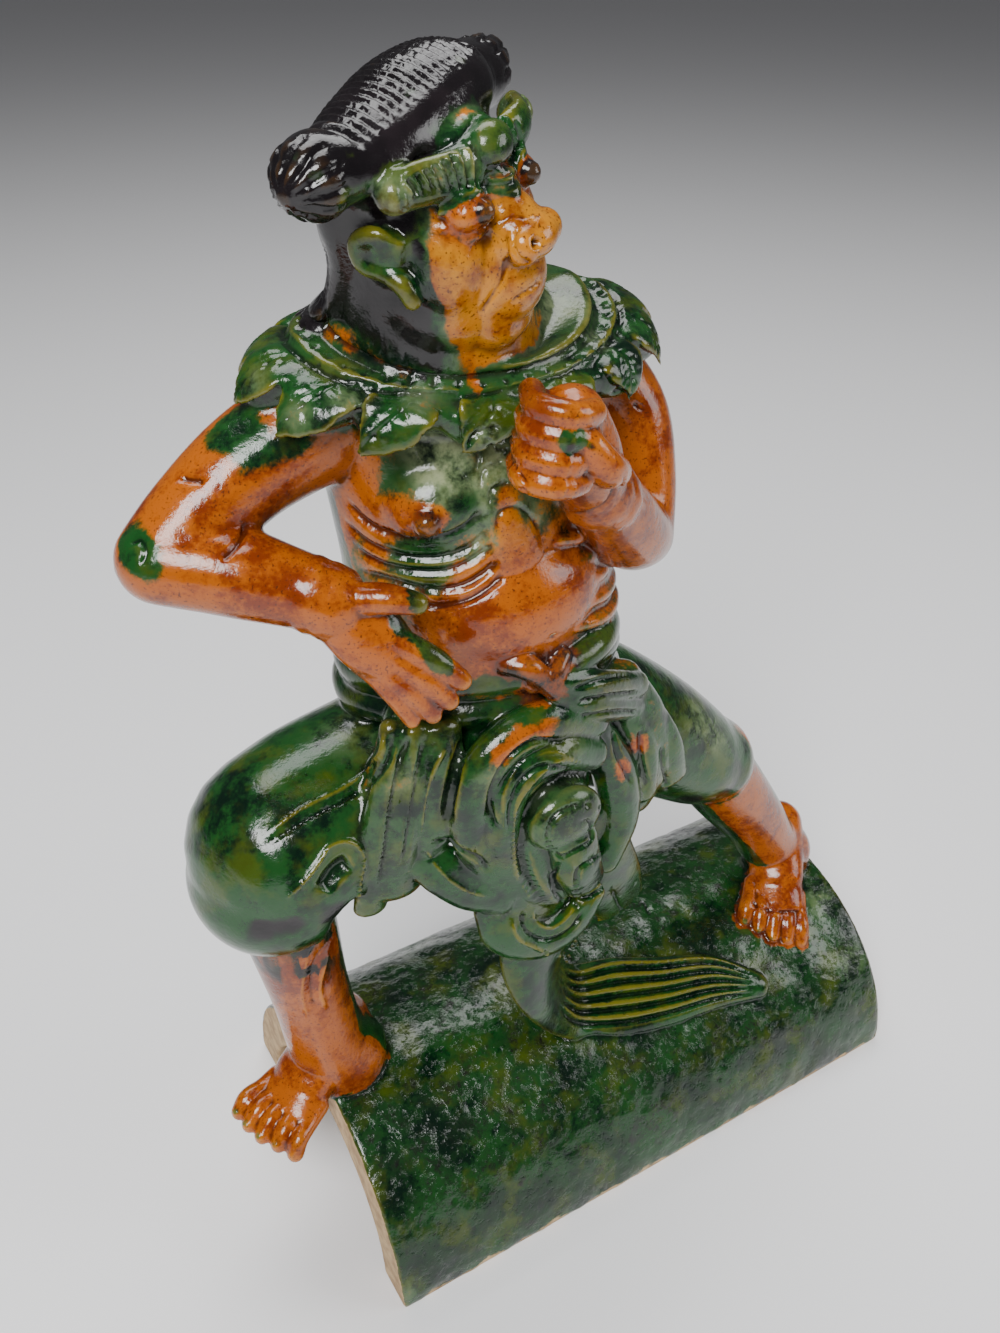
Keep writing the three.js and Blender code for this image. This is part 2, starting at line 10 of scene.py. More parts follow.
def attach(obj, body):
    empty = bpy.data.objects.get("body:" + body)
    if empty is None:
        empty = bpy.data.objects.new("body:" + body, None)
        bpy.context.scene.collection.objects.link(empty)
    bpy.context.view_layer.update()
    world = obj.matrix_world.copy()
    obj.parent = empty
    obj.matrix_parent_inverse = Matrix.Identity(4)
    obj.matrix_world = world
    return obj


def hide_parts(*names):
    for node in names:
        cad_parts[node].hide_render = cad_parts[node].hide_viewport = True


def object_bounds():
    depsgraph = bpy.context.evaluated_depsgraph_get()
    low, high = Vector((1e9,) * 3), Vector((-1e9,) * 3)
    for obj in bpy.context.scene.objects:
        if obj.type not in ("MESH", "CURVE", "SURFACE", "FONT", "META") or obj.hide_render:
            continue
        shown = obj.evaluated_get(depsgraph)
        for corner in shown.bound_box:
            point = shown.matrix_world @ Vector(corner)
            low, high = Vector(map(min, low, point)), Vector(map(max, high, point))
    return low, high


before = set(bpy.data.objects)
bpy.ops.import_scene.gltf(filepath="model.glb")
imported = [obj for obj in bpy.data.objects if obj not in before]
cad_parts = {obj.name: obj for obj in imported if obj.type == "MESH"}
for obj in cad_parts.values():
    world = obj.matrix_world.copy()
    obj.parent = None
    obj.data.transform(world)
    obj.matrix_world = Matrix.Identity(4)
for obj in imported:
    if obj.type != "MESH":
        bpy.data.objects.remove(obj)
cad_box = [list(corner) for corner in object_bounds()]

# Ridge tile
# A half-round arch of buff clay, thrown as a cylinder and cut in two. It is laid along the ridge of the
# roof, and carries the figure on its crown. Sizes are in millimetres, as in the part's source.
TILE_LENGTH = 276
TILE_WIDTH = 160
TILE_HEIGHT = 76
TILE_WALL = 21
TILE_CUTS = 70
MIDDLE = cad_box[1][0] * 1000 - TILE_LENGTH / 2

clay = bmesh.new()
bmesh.ops.create_cube(clay, size=1)
bmesh.ops.subdivide_edges(clay, edges=clay.edges[:], cuts=TILE_CUTS, use_grid_fill=True)
for vert in clay.verts:
    depth = TILE_WALL * (0.5 - vert.co.z)
    turn = math.pi * (vert.co.y + 0.5)
    vert.co = (
        MIDDLE + vert.co.x * TILE_LENGTH,
        -(TILE_WIDTH / 2 - depth) * math.cos(turn),
        (TILE_HEIGHT - depth) * math.sin(turn),
    )
skin = [np.array([vert.co for vert in clay.verts])]
tints = ["tile"] * len(skin[0])


def tile_top(y):
    """The height of the tile's outside at a place across it."""
    return TILE_HEIGHT * math.sqrt(1 - min(abs(y) / (TILE_WIDTH / 2), 1) ** 2)


# Trunk
# The figure is pressed and hand-built from the same clay: rolls, coils and slabs of it are luted together
# while damp. The trunk is one thick-walled roll, with a round belly, ribs and a ringed windpipe.
SIDEWAYS = Vector((1, 0, 0))
FRONTWARDS = Vector((0, -1, 0))
UPWARDS = Vector((0, 0, 1))
TOUCHING = 1e-4
NUDGE = 1e-3


def at(x, y, z):
    """A place from the middle of the tile's crown: to the figure's left, back and up."""
    return Vector((MIDDLE + x, y, TILE_HEIGHT + z))


def through(points, t):
    """A smooth line through the points, at shares t of its length."""
    points = np.asarray(points, float)
    ends = [2 * points[0] - points[1], *points, 2 * points[-1] - points[-2]]
    knots = np.array(ends)
    run = np.clip(t, 0, 1) * (len(points) - 1)
    part = np.minimum(run.astype(int), len(points) - 2)
    w = (run - part)[:, None]
    p0, p1, p2, p3 = (knots[part + i] for i in range(4))
    pairs = ((p0, p1), (p1, p2), (p2, p3))
    gap = [np.linalg.norm(b - a, axis=1, keepdims=True) ** 0.5 for a, b in pairs]
    gap[1] = np.where(gap[1] < TOUCHING, 1, gap[1])
    gap[0] = np.where(gap[0] < TOUCHING, gap[1], gap[0])
    gap[2] = np.where(gap[2] < TOUCHING, gap[1], gap[2])
    m1 = ((p1 - p0) / gap[0] - (p2 - p0) / (gap[0] + gap[1]) + (p2 - p1) / gap[1]) * gap[1]
    m2 = ((p2 - p1) / gap[1] - (p3 - p1) / (gap[1] + gap[2]) + (p3 - p2) / gap[2]) * gap[1]
    bend = (3 * (p2 - p1) - 2 * m1 - m2) * w**2
    turn_back = (2 * (p1 - p2) + m1 + m2) * w**3
    return p1 + m1 * w + bend + turn_back


def add(form, spots, tint, into=None):
    """Moves a form's points to their spots and lays it with the rest of the clay."""
    for vert, spot in zip(form.verts, spots):
        vert.co = spot
    mesh = bpy.data.meshes.new(tint)
    form.to_mesh(mesh)
    form.free()
    (clay if into is None else into).from_mesh(mesh)
    bpy.data.meshes.remove(mesh)
    skin.append(np.array(spots))
    tints.extend([tint] * len(spots))


def roll(stations, place=at, wide=SIDEWAYS, sides=20, steps=16, caps=5, swell=None, *, tint, into=None):
    """A roll of clay: a capsule bent through stations.

    A station is a place, and the roll's half sizes there: towards wide, and square to it.
    """
    form = bmesh.new()
    bmesh.ops.create_uvsphere(form, u_segments=sides, v_segments=2 * caps + steps, radius=1)
    ball = np.array([vert.co for vert in form.verts])
    ring = np.rint(np.arccos(np.clip(-ball[:, 2], -1, 1)) / math.pi * (2 * caps + steps))
    angle = np.arctan2(ball[:, 1], ball[:, 0])
    t = np.clip((ring - caps) / steps, 0, 1)
    cap = np.where(ring < caps, ring - caps, np.where(ring > caps + steps, ring - caps - steps, 0))
    spread = np.cos(cap / caps * math.pi / 2)
    beyond = np.sin(cap / caps * math.pi / 2)
    line = [place(*station[:3]) for station in stations]
    sizes = [(station[3], station[-1], 0) for station in stations]
    middle = through(line, t)
    ahead = through(line, np.minimum(t + NUDGE, 1)) - through(line, np.maximum(t - NUDGE, 0))
    ahead /= np.linalg.norm(ahead, axis=1, keepdims=True)
    size = through(sizes, t)
    wide = np.array(wide)
    across = wide - ahead * (ahead @ wide)[:, None]
    across /= np.linalg.norm(across, axis=1, keepdims=True)
    side = np.cross(across, ahead)
    lift = swell(t, angle) if swell else 1
    spot = (
        middle
        + across * (np.cos(angle) * spread * size[:, 0] * lift)[:, None]
        + side * (np.sin(angle) * spread * size[:, 1] * lift)[:, None]
        + ahead * (beyond * np.minimum(size[:, 0], size[:, 1]))[:, None]
    )
    add(form, spot, tint, into)


def ball(centre, sizes, axes=None, sides=20, *, tint, into=None):
    """A ball of clay with its half sizes along three axes."""
    form = bmesh.new()
    bmesh.ops.create_uvsphere(form, u_segments=sides, v_segments=sides // 2 + 4, radius=1)
    axes = axes or (SIDEWAYS, -FRONTWARDS, UPWARDS)
    unit = np.array([vert.co for vert in form.verts])
    add(form, np.array(centre) + (unit * sizes) @ np.array(axes), tint, into)


TRUNK = [
    (-52, 4, 150, 42, 30), (-54, 1, 186, 48, 37), (-58, -4, 214, 50, 42), (-62, -4, 244, 46, 37),
    (-63, 0, 272, 48, 35), (-62, 3, 294, 54, 30), (-68, 0, 310, 34, 25),
]


def trunk_skin(height, angle, lift=0):
    """A point on the trunk; angle 0 is the middle of the front, and grows towards the figure's right."""
    xs, ys, heights, widths, depths = zip(*TRUNK)
    x, y, width, depth = (np.interp(height, heights, row) for row in (xs, ys, widths, depths))
    turn = math.radians(angle)
    return at(x - (width + lift) * math.sin(turn), y - (depth + lift) * math.cos(turn), height)


roll(TRUNK, sides=48, steps=40, tint="chest")
ball(trunk_skin(228, 0, -20), (35, 26, 27), sides=32, tint="amber")
for side in (1, -1):
    ball(trunk_skin(268, 33 * side, -11), (20, 17, 16), sides=28, tint="chest")

# Head
# The head is modelled separately and luted on, turned to its left and leaning to its right. Its mask is
# a temple guardian's: bulging eyes under comb-like brows, a snout, and a small mouth with its ends down.
HEAD = at(-83.5, -17, 356)
HEAD_TURN = math.radians(28)
HEAD_LEAN = math.radians(12)
FACING_RIGHT = Vector((-math.cos(HEAD_TURN), -math.sin(HEAD_TURN), 0))
FORWARD = Vector((math.sin(HEAD_TURN), -math.cos(HEAD_TURN), 0))
RIGHT = FACING_RIGHT * math.cos(HEAD_LEAN) - UPWARDS * math.sin(HEAD_LEAN)
UP = RIGHT.cross(FORWARD)
HEAD_AXES = (FORWARD, UP, RIGHT)


def face(forward, right, up):
    """A place on the head, from its middle."""
    return HEAD + FORWARD * forward + RIGHT * right + UP * up


roll(
    [
        (0, 0, 8, 24, 24), (2, 0, -1, 26, 26), (7, 0, -13, 24, 23), (12, 0, -26, 17, 18),
        (14, 0, -32, 11, 12),
    ],
    face, RIGHT, sides=36, tint="face",
)
ball(face(20, 0, -16), (16, 16, 15), HEAD_AXES, tint="face")
ball(face(15, 0, 17), (11, 9, 13), HEAD_AXES, tint="brow")
ball(face(5, 0, -20), (23, 22, 25), HEAD_AXES, sides=28, tint="jaw")
roll([(-81, -13, 345, 26, 25), (-73, -6, 306, 32, 28)], steps=6, sides=32, tint="jaw")
for side in (1, -1):
    ball(face(15, 14 * side, -8), (11, 16, 11), HEAD_AXES, tint="face")

# Hair
# Strands are combed back over the crown into a roll across the head, which ends in a knot at each side.
roll(
    [
        (-6, 41, 22, 8, 8), (-6, 35, 22, 11.5, 10.5), (-4, 27, 22, 13.5, 9.5), (-3, 14, 23.5, 17, 10.5),
        (-3, -4, 25.5, 18, 12), (-3, -18, 25, 17, 12), (-4, -29, 22, 12, 10), (-4, -37, 21, 11.5, 10),
        (-4, -43, 22, 8, 8),
    ],
    face, FORWARD, sides=28, steps=40, tint="hair",
)
ball(face(0, 0, 14), (19, 13, 26.5), HEAD_AXES, sides=32, tint="hair")
roll(
    [
        (-8, 0, 18, 26, 15), (-13, 0, 2, 26, 15), (-15, 0, -12, 24, 13), (-24, 0, -26, 23, 8),
        (-39, 0, -36, 23, 4),
    ],
    face, RIGHT, sides=32, tint="hair",
)

# Leaf cape
# One sheet of clay lies round the shoulders, worked into a neck roll and a raised band over its leaves.
CAPE = {"x": -64, "y": -1, "neck": 320, "hem": 303, "droop": 11}
LEAVES = 14


def cape_skin(angle, share, lift=0):
    """A point on the cape; share is 0 at the neck and 1 at the hem."""
    turn = math.radians(angle)
    across = 36 + 38 * share + lift
    deep = 30 + 13 * share + lift
    fall = CAPE["neck"] + (CAPE["hem"] - CAPE["neck"]) * max(share, 0) ** 1.6
    return at(
        CAPE["x"] - across * math.sin(turn),
        CAPE["y"] - deep * math.cos(turn),
        fall + lift - CAPE["droop"] * max(math.cos(turn), 0),
    )


# The sheet's section, from the neck over to its underside: a share of the way to the hem, and a lift
LAYERS = [
    (-0.6, 4), (-0.3, 2), (-0.12, 3), (0, 4.5), (0.1, 4.5), (0.18, 2), (0.23, -0.5), (0.3, 1),
    (0.36, 3), (0.42, 3), (0.5, -0.5), (0.6, 1), (0.72, 2), (0.85, 1), (0.97, -1.5), (0.9, -5),
    (0.62, -9), (0.3, -14), (0, -18),
]
POLE = 0.001
sheet = bmesh.new()
bmesh.ops.create_uvsphere(sheet, u_segments=16 * LEAVES, v_segments=40, radius=1)
shares, lifts = zip(*LAYERS)
spots = []
for vert in sheet.verts:
    polar = math.acos(max(-1, min(1, vert.co.z))) / math.pi
    turn = math.degrees(math.atan2(vert.co.y, vert.co.x))
    step = polar * (len(LAYERS) - 1)
    share = float(np.interp(step, range(len(LAYERS)), shares))
    lift = float(np.interp(step, range(len(LAYERS)), lifts))
    leaf = abs((turn / 360 * LEAVES) % 1 - 0.5) * 2
    if share > 0.5:
        share -= (share - 0.5) * 0.55 * leaf**1.5
    spots.append(cape_skin(turn, share, lift))
    if polar < POLE or polar > 1 - POLE:
        height = CAPE["neck"] + 6 if polar < 0.5 else CAPE["hem"] - 26
        spots[-1] = at(CAPE["x"], CAPE["y"], height)
add(sheet, spots, "cape")

# Arms
# Each arm is two thick rolls, luted on at the shoulder and joined at a sharp elbow, with the hand as a
# third. The right arm is bent out with its hand on the waist; the left one is raised before the chest.
for stations in (
    # Right upper arm and forearm
    [
        (-113, 3, 290, 19, 19), (-136, 2, 281, 17, 17), (-156, -1, 269, 15, 15.5),
        (-168, -4, 261, 14, 14),
    ],
    [
        (-168, -5, 261, 14, 13.5), (-150, -15, 257, 14.5, 14), (-136, -24, 252, 12, 12.5),
        (-125, -31, 248, 10.5, 11),
    ],
    # Left upper arm and forearm
    [(-10, 3, 288, 18, 17), (0, -5, 273, 16, 15.5), (1, -14, 252, 14.5, 14), (-3, -23, 235, 13, 12.5)],
    [
        (-3, -23, 234, 13, 12.5), (-14, -32, 242, 13.5, 13.5), (-28, -42, 257, 12, 13),
        (-42, -50, 272, 10.5, 11),
    ],
    # Right hand, left hand
    [(-126, -31, 247, 9, 10), (-117, -39, 236, 7, 12), (-112, -42, 230, 6, 10)],
    [(-45, -51, 275, 11, 11), (-54, -56, 290, 12, 13), (-60, -58, 302, 11, 12)],
):
    roll(stations, wide=FRONTWARDS, tint="amber")

# Legs
# Stout rolls of the same clay carry the figure in a wide stance. They are luted to the crown by a bare
# foot at each end of the tile; the right one hangs over its end.
FOOT_SINK = 3


def stand_at(x, y, z):
    """A place above the tile's outside, sunk a little so that the foot joins it."""
    return Vector((MIDDLE + x, y, tile_top(y) - FOOT_SINK + z))


RIGHT_ANKLE = stand_at(-TILE_LENGTH / 2 + 5, -5, 17)
LEFT_ANKLE = stand_at(TILE_LENGTH / 2 - 27, -5, 17)
RIGHT_KNEE = Vector((RIGHT_ANKLE.x - 16, -8, TILE_HEIGHT + 134))
LEFT_KNEE = Vector((LEFT_ANKLE.x - 56, -9, TILE_HEIGHT + 98))
RIGHT_HIP = at(-70, 2, 156)
LEFT_HIP = at(-36, 2, 160)


def between(start, end):
    """Places a point part of the way from one joint to the next, moved sideways and up."""
    return lambda share, dx, dz: start.lerp(end, share) + Vector((dx, 0, dz))


right_shin = between(RIGHT_KNEE, RIGHT_ANKLE)
left_shin = between(LEFT_KNEE, LEFT_ANKLE)
roll(
    [
        (0, 0, 0, 20, 20), (0.35, 0, 0, 18, 18), (0.7, 0, 0, 16, 16), (0.95, 1, 0, 17, 17),
        (1.08, 5, 0, 20, 18),
    ],
    right_shin, sides=32, tint="shin",
)
roll(
    [
        (0, 0, 0, 19, 19), (0.35, 1, 1, 18, 18), (0.7, 2, 2, 16, 16), (1, 2, 1, 15, 15),
        (1.1, 6, 0, 16, 16),
    ],
    left_shin, FRONTWARDS, sides=32, tint="shin",
)


def tread(heel, heading):
    """Places a point of a foot: forward, sideways, and up from the tile under it."""
    ahead = Vector((math.cos(math.radians(heading)), math.sin(math.radians(heading)), 0))
    aside = Vector((-ahead.y, ahead.x, 0))

    def on(forward, sideways, lift):
        spot = heel + ahead * forward + aside * sideways
        return spot + UPWARDS * (tile_top(spot.y) - tile_top(heel.y) + lift)

    return on, aside


right_foot, right_aside = tread(stand_at(RIGHT_ANKLE.x - MIDDLE + 10, 2, 0), 205)
left_foot, left_aside = tread(stand_at(LEFT_ANKLE.x - MIDDLE + 14, 1, 0), 229)
SOLE = [(0, 0, 9, 12, 10), (14, 0, 9, 12, 11), (28, 0, 6, 14, 9), (38, 0, 4, 15, 7)]
INSTEP = [(0, 0, 20, 12, 14), (12, 0, 15, 13, 12), (26, 0, 10, 14, 9)]
for foot, aside in ((right_foot, right_aside), (left_foot, left_aside)):
    roll(SOLE, foot, aside, tint="foot")
    roll(INSTEP, foot, aside, tint="foot")

# Breeches
# Full breeches are modelled as thicker rolls over the thighs, gathered at the belt. The right leg's hem
# balloons over the knee, and is cut open at the front while the clay is soft.
thigh = between(RIGHT_HIP, RIGHT_KNEE)
other_thigh = between(LEFT_HIP, LEFT_KNEE)
HEM_GRAIN = 1.5
balloon = bmesh.new()
roll(
    [(0, 0, -4, 30, 30), (0.38, 0, 2, 32, 31), (0.72, 2, 3, 35, 35), (0.97, 4, 3, 35, 36)],
    thigh, FRONTWARDS, sides=40, steps=30, tint="breeches", into=balloon,
)
ball(right_shin(0.07, -1, 0), (30, 33, 28), sides=36, tint="breeches", into=balloon)
roll(
    [
        (0, 0, 0, 32, 32), (0.35, 0, 3, 32, 31), (0.68, 0, 3, 29, 27), (0.93, 0, 0, 26, 23),
        (1.03, 1, 0, 22, 20),
    ],
    other_thigh, FRONTWARDS, sides=40, steps=30, tint="breeches",
)
opening = bmesh.new()
ball(right_shin(0.34, 3, 0), (21, 22, 18), sides=28, tint="hollow", into=opening)
ball(right_shin(0.2, 16, 0) + FRONTWARDS * 27, (9, 16, 20), sides=24, tint="hollow", into=opening)


def settled(mesh_source, name, grain, cut=None, soften=0):
    """Turns rolls and balls that pass into each other into one skin, as damp clay does when worked."""
    mesh = bpy.data.meshes.new(name)
    mesh_source.to_mesh(mesh)
    mesh_source.free()
    lump = bpy.data.objects.new(name, mesh)
    bpy.context.scene.collection.objects.link(lump)
    remesh = lump.modifiers.new("one skin", "REMESH")
    remesh.mode = "VOXEL"
    remesh.voxel_size = grain
    if cut:
        knife = lump.modifiers.new("cut", "BOOLEAN")
        knife.operation = "DIFFERENCE"
        knife.object = cut
    if soften:
        smooth = lump.modifiers.new("soften", "SMOOTH")
        smooth.factor = 0.5
        smooth.iterations = soften
    bpy.context.view_layer.update()
    graph = bpy.context.evaluated_depsgraph_get()
    shaped = bpy.data.meshes.new_from_object(lump.evaluated_get(graph))
    bpy.data.objects.remove(lump)
    result = bmesh.new()
    result.from_mesh(shaped)
    bpy.data.meshes.remove(shaped)
    return result


mesh = bpy.data.meshes.new("opening")
settled(opening, "opening", HEM_GRAIN).to_mesh(mesh)
cutter = bpy.data.objects.new("opening", mesh)
bpy.context.scene.collection.objects.link(cutter)
hem = settled(balloon, "balloon", HEM_GRAIN, cut=cutter)
bpy.data.objects.remove(cutter)
mesh = bpy.data.meshes.new("hem")
hem.to_mesh(mesh)
hem.free()
clay.from_mesh(mesh)
bpy.data.meshes.remove(mesh)

# Belt
# Two rolls of clay go round the waist, one over the other, and are pressed against the trunk. They are
# lifted at the front by the knot.
BELT = {"x": -56, "y": 0, "z": 185, "across": 48.5, "through": 40}


def belt_skin(angle, rise, lift):
    """A place round the waist; angle 0 is the middle of the front."""
    turn = math.radians(angle)
    return at(
        BELT["x"] - (BELT["across"] + lift) * math.sin(turn),
        BELT["y"] - (BELT["through"] + lift) * math.cos(turn),
        BELT["z"] + 6 * math.sin(turn) + 12 * max(math.cos(turn), 0) + rise,
    )


for rise, lift, size in ((6, 0.5, 6.5), (-6, 1.5, 6)):
    stations = [(angle, rise, lift, size, 6.5) for angle in range(0, 361, 15)]
    roll(stations, belt_skin, UPWARDS, steps=96, sides=16, tint="belt")

# Skirt
# Panels of the skirt are slabs of clay that hang from the belt, either side of the sash, and lie against
# the breeches.
for stations in (
    [(-94, -29, 190, 10, 16), (-104, -32, 156, 11, 18), (-112, -32, 124, 8, 14)],
    [(-18, -34, 180, 8, 12), (-8, -37, 156, 9, 15), (-4, -38, 134, 8, 13), (-6, -38, 121, 6, 8)],
):
    roll(stations, wide=FRONTWARDS, tint="skirt")

# Sash
# A flat end of the sash hangs from the knot behind its scrolls. With it the broad forms are all in place,
# and they are worked into one body before the small ones go on.
BODY_GRAIN = 1.3
BODY_SOFTENING = 6
roll(
    [(-58, -36, 182, 12, 26), (-60, -42, 150, 12, 27), (-60, -44, 118, 10, 22), (-56, -42, 92, 9, 18)],
    wide=FRONTWARDS, sides=28, tint="sash",
)

clay = settled(clay, "body", BODY_GRAIN, soften=BODY_SOFTENING)

# Face and ears
# Eyes, lids, brows, nose, lips and ears are small rolls and balls, pressed on once the head is firm. The
# brow on the turned side stands out further.
roll(
    [(22, 0, 12, 6, 5), (25, 0, 5, 7, 6), (28, 0, 0, 9, 7), (31, 0, -4, 10, 7)],
    face, RIGHT, sides=28, tint="face",
)
ball(face(33.6, 0, -3.6), (7.4, 6.2, 9), HEAD_AXES, sides=28, tint="face")
roll(
    [(23, 0, 0, 9, 8), (24.5, 0, -9, 13, 8.5), (24, 0, -18, 14, 8.5), (21, 0, -29, 12.5, 9)],
    face, RIGHT, sides=32, tint="face",
)
roll(
    [
        (24, -9, -24, 1.6, 2), (29, -5, -23, 2, 2.6), (31, 0, -22, 2.2, 2.8), (29, 5, -23, 2, 2.6),
        (24, 9, -25, 1.6, 2),
    ],
    face, UP, tint="face",
)
roll(
    [
        (25, -9, -18, 2, 3), (30, -5, -15.5, 2.6, 3.2), (32.4, 0, -14, 3, 3.4),
        (30, 5, -15.5, 2.6, 3.2), (25, 10, -18, 2, 3),
    ],
    face, UP, tint="face",
)
ball(face(23.5, 0, 19), (6, 6.5, 7.5), HEAD_AXES, tint="brow")
for lift, out in ((11.5, 28), (8, 29.5)):
    roll(
        [
            (out - 4.5, -6, lift + 1.5, 1.2, 1.6), (out, 0, lift, 1.5, 2),
            (out - 4.5, 6, lift + 1.5, 1.2, 1.6),
        ],
        face, UP, sides=12, tint="brow",
    )
for side in (1, -1):
    flare = 3.5 if side < 0 else 0
    ball(face(34.6, 6 * side, -3.8), (5, 5.2, 4.8), HEAD_AXES, tint="face")
    ball(face(22.6, 12.8 * side, 6.8), (5.8, 4.8, 6.2), HEAD_AXES, sides=28, tint="eye")
    ball(face(27.4, 12 * side, 7.4), (3.4, 3.4, 3.4), HEAD_AXES, tint="pupil")
    for middle, low in ((12.4, 8.8), (1.2, 4.6)):
        roll(
            [
                (24, 6.3 * side, 6, 0.9, 0.9), (26, 11 * side, middle, 1, 1),
                (24, 15.5 * side, middle * 0.96, 1, 1), (19, 19.5 * side, low, 0.9, 0.9),
            ],
            face, RIGHT, sides=12, tint="brow" if middle > 6 else "lid",
        )
    sweep = [
        (22, 6 * side, 15), (21.5, 12 * side, 16.5), (17 + flare, 20 * side, 17),
        (12 + flare, 26 * side, 16.5),
    ]
    roll([(*place, 6, 3.6) for place in sweep], face, UP, tint="brow")
    ball(face(11.5 + flare, 27.3 * side, 16), (5.2, 5.2, 5.2), HEAD_AXES, tint="knot")
    # Long ear: a rim that bends forward into a heavy lobe, round a hollow
    roll(
        [
            (9, 25.5 * side, 1.5, 2, 2.2), (3, 28 * side, 4.3, 2.3, 2.8),
            (-2.5, 28.5 * side, 1, 2.3, 2.8), (-1.5, 28.5 * side, -4.5, 2.2, 2.6),
            (5, 28 * side, -6, 2.6, 2.6), (9.8, 27.5 * side, -8.5, 3.2, 3),
            (12, 27 * side, -13, 3, 2.6),
        ],
        face, RIGHT, sides=14, steps=30, tint="ear",
    )
    ball(face(3.5, 25.5 * side, -1), (7, 5.5, 4), HEAD_AXES, tint="ear")

# Hair knots
# The roll of hair ends in a small knot at each side of the head, a ball of clay pressed on its end.
ball(face(-6, 37.5, 21.5), (11.5, 10.5, 8.5), HEAD_AXES, tint="hair")
ball(face(-4, -40, 21), (10.5, 9.5, 7), HEAD_AXES, tint="hair")

# Nipples, ribs and windpipe
# Thin coils laid on the chest stand for its ribs, a pad up its middle for the ringed windpipe, and a pellet
# on each breast for a nipple. They are smoothed in with a wet finger.
RIB_ANGLES = (17, 32, 48, 66, 86)
for side in (1, -1):
    ball(trunk_skin(267, 36 * side, 5.5), (4.4, 4.4, 4.4), tint="nipple")
    for i in range(5 if side < 0 else 0):
        low = 253 - i * 8
        stations = []
        for j, angle in enumerate(RIB_ANGLES):
            sag = 2 if angle < 60 else 0
            stations.append((low - j * 3 - sag, angle * side, 0.9 - j * 0.2, 1.9 + 0.7 * (0 < j < 4)))
        roll(stations, trunk_skin, UPWARDS, sides=10, steps=24, caps=3, tint="rib")
roll(
    [(292, 13, -3, 9, 5.5), (272, 8, -2, 10.5, 6), (248, 2, -2, 10, 5)],
    trunk_skin, SIDEWAYS, sides=28, steps=40, tint="windpipe",
)

# Cape leaves
# Each leaf is a pointed pad with lobed edges, laid over the next, and its free tip is curled up.
def lobed(t, angle):
    """Widens a leaf at each lobe, and narrows it to its tip."""
    return (1 + 0.12 * np.abs(np.sin(t * 3 * math.pi))) * (1 - 0.75 * t**3)


for i in range(LEAVES):
    turn = (i + 0.5) * 360 / LEAVES + 180
    along = cape_skin(turn + 5, 0.7) - cape_skin(turn - 5, 0.7)
    roll(
        [
            (turn - 4, 0.46, 0, 8.5, 1.7), (turn - 2, 0.66, 2.2, 9.8, 2),
            (turn + 1, 0.88, 1.2, 8.6, 1.8), (turn + 4, 1.02, -0.5, 4.2, 1.3),
        ],
        cape_skin, along, sides=24, steps=42, swell=lobed, tint="leaf",
    )

# Bracelets
# A band of two thin coils goes round each wrist.
BAND = (12.6, 11.8)
for near, far in (((-131, -28, 249.8), (-126, -31, 248)), ((-38.5, -47.8, 268.5), (-42, -50, 272))):
    for place, step in ((near, 0.9), (far, -0.9)):
        beside = (place[0] + step, place[1] - step * 0.5, place[2] + step * 0.4)
        coil = [(*place, *BAND), (*beside, *BAND)]
        roll(coil, wide=UPWARDS, sides=28, steps=2, caps=3, tint="amber")

# Hands
# Fingers and thumbs are thin rolls, pressed on the hands. The right hand lies on the waist with its
# fingers towards the belt knot; the left one is a fist.
FINGERS = [
    (-111, -43, 236, -93, -53, 220, 4.4), (-113, -43, 231, -97, -52, 213, 4.3),
    (-116, -42, 227, -102, -50, 208, 4.1), (-118, -40, 224, -108, -47, 206, 3.6),
]
for x, y, z, tip_x, tip_y, tip_z, size in FINGERS:
    bend = ((x + tip_x) / 2, (y + tip_y) / 2 - 1.5, (z + tip_z) / 2 + 1.5, size)
    tip = (tip_x, tip_y, tip_z, size * 0.8)
    roll([(x - 4, y + 2, z + 4, size * 0.9), (x, y, z, size), bend, tip], sides=14, tint="amber")
roll([(-122, -36, 250, 5), (-113, -43, 251, 5), (-105, -47, 249, 3.8)], sides=14, tint="amber")
roll([(-48, -66, 287, 5), (-55, -71, 292, 5.5), (-61, -71, 300, 4.6)], sides=14, tint="amber")
for i in range(4):
    x, y, z = -64 - 1.6 * i, -59 - 0.6 * i, 310 - 6.6 * i
    roll(
        [
            (x + 6, y - 8, z - 2, 4), (x - 3, y - 10.5, z, 4.2), (x - 9, y - 3, z + 1, 4.2),
            (x - 5, y + 7, z + 1, 4),
        ],
        sides=14, tint="amber",
    )

# Toes
# Five short rolls lie side by side on each foot and bend down at their ends, each with a pressed-on nail.
for foot, toe_out in ((right_foot, 1.6), (left_foot, 2)):
    for i in range(5):
        spread = -13 + i * 6.5
        reach = 53 - abs(i - toe_out) * 1.6
        toe = [(30, spread * 0.95, 6, 3.6), (38, spread, 5.5, 3.7), (46, spread * 1.08, 6.2, 4)]
        roll([*toe, (reach, spread * 1.12, 2, 3.7)], foot, sides=14, tint="foot")
        ball(foot(reach + 1.6, spread * 1.12, 4), (2.2, 2.4, 1.8), sides=10, tint="nail")

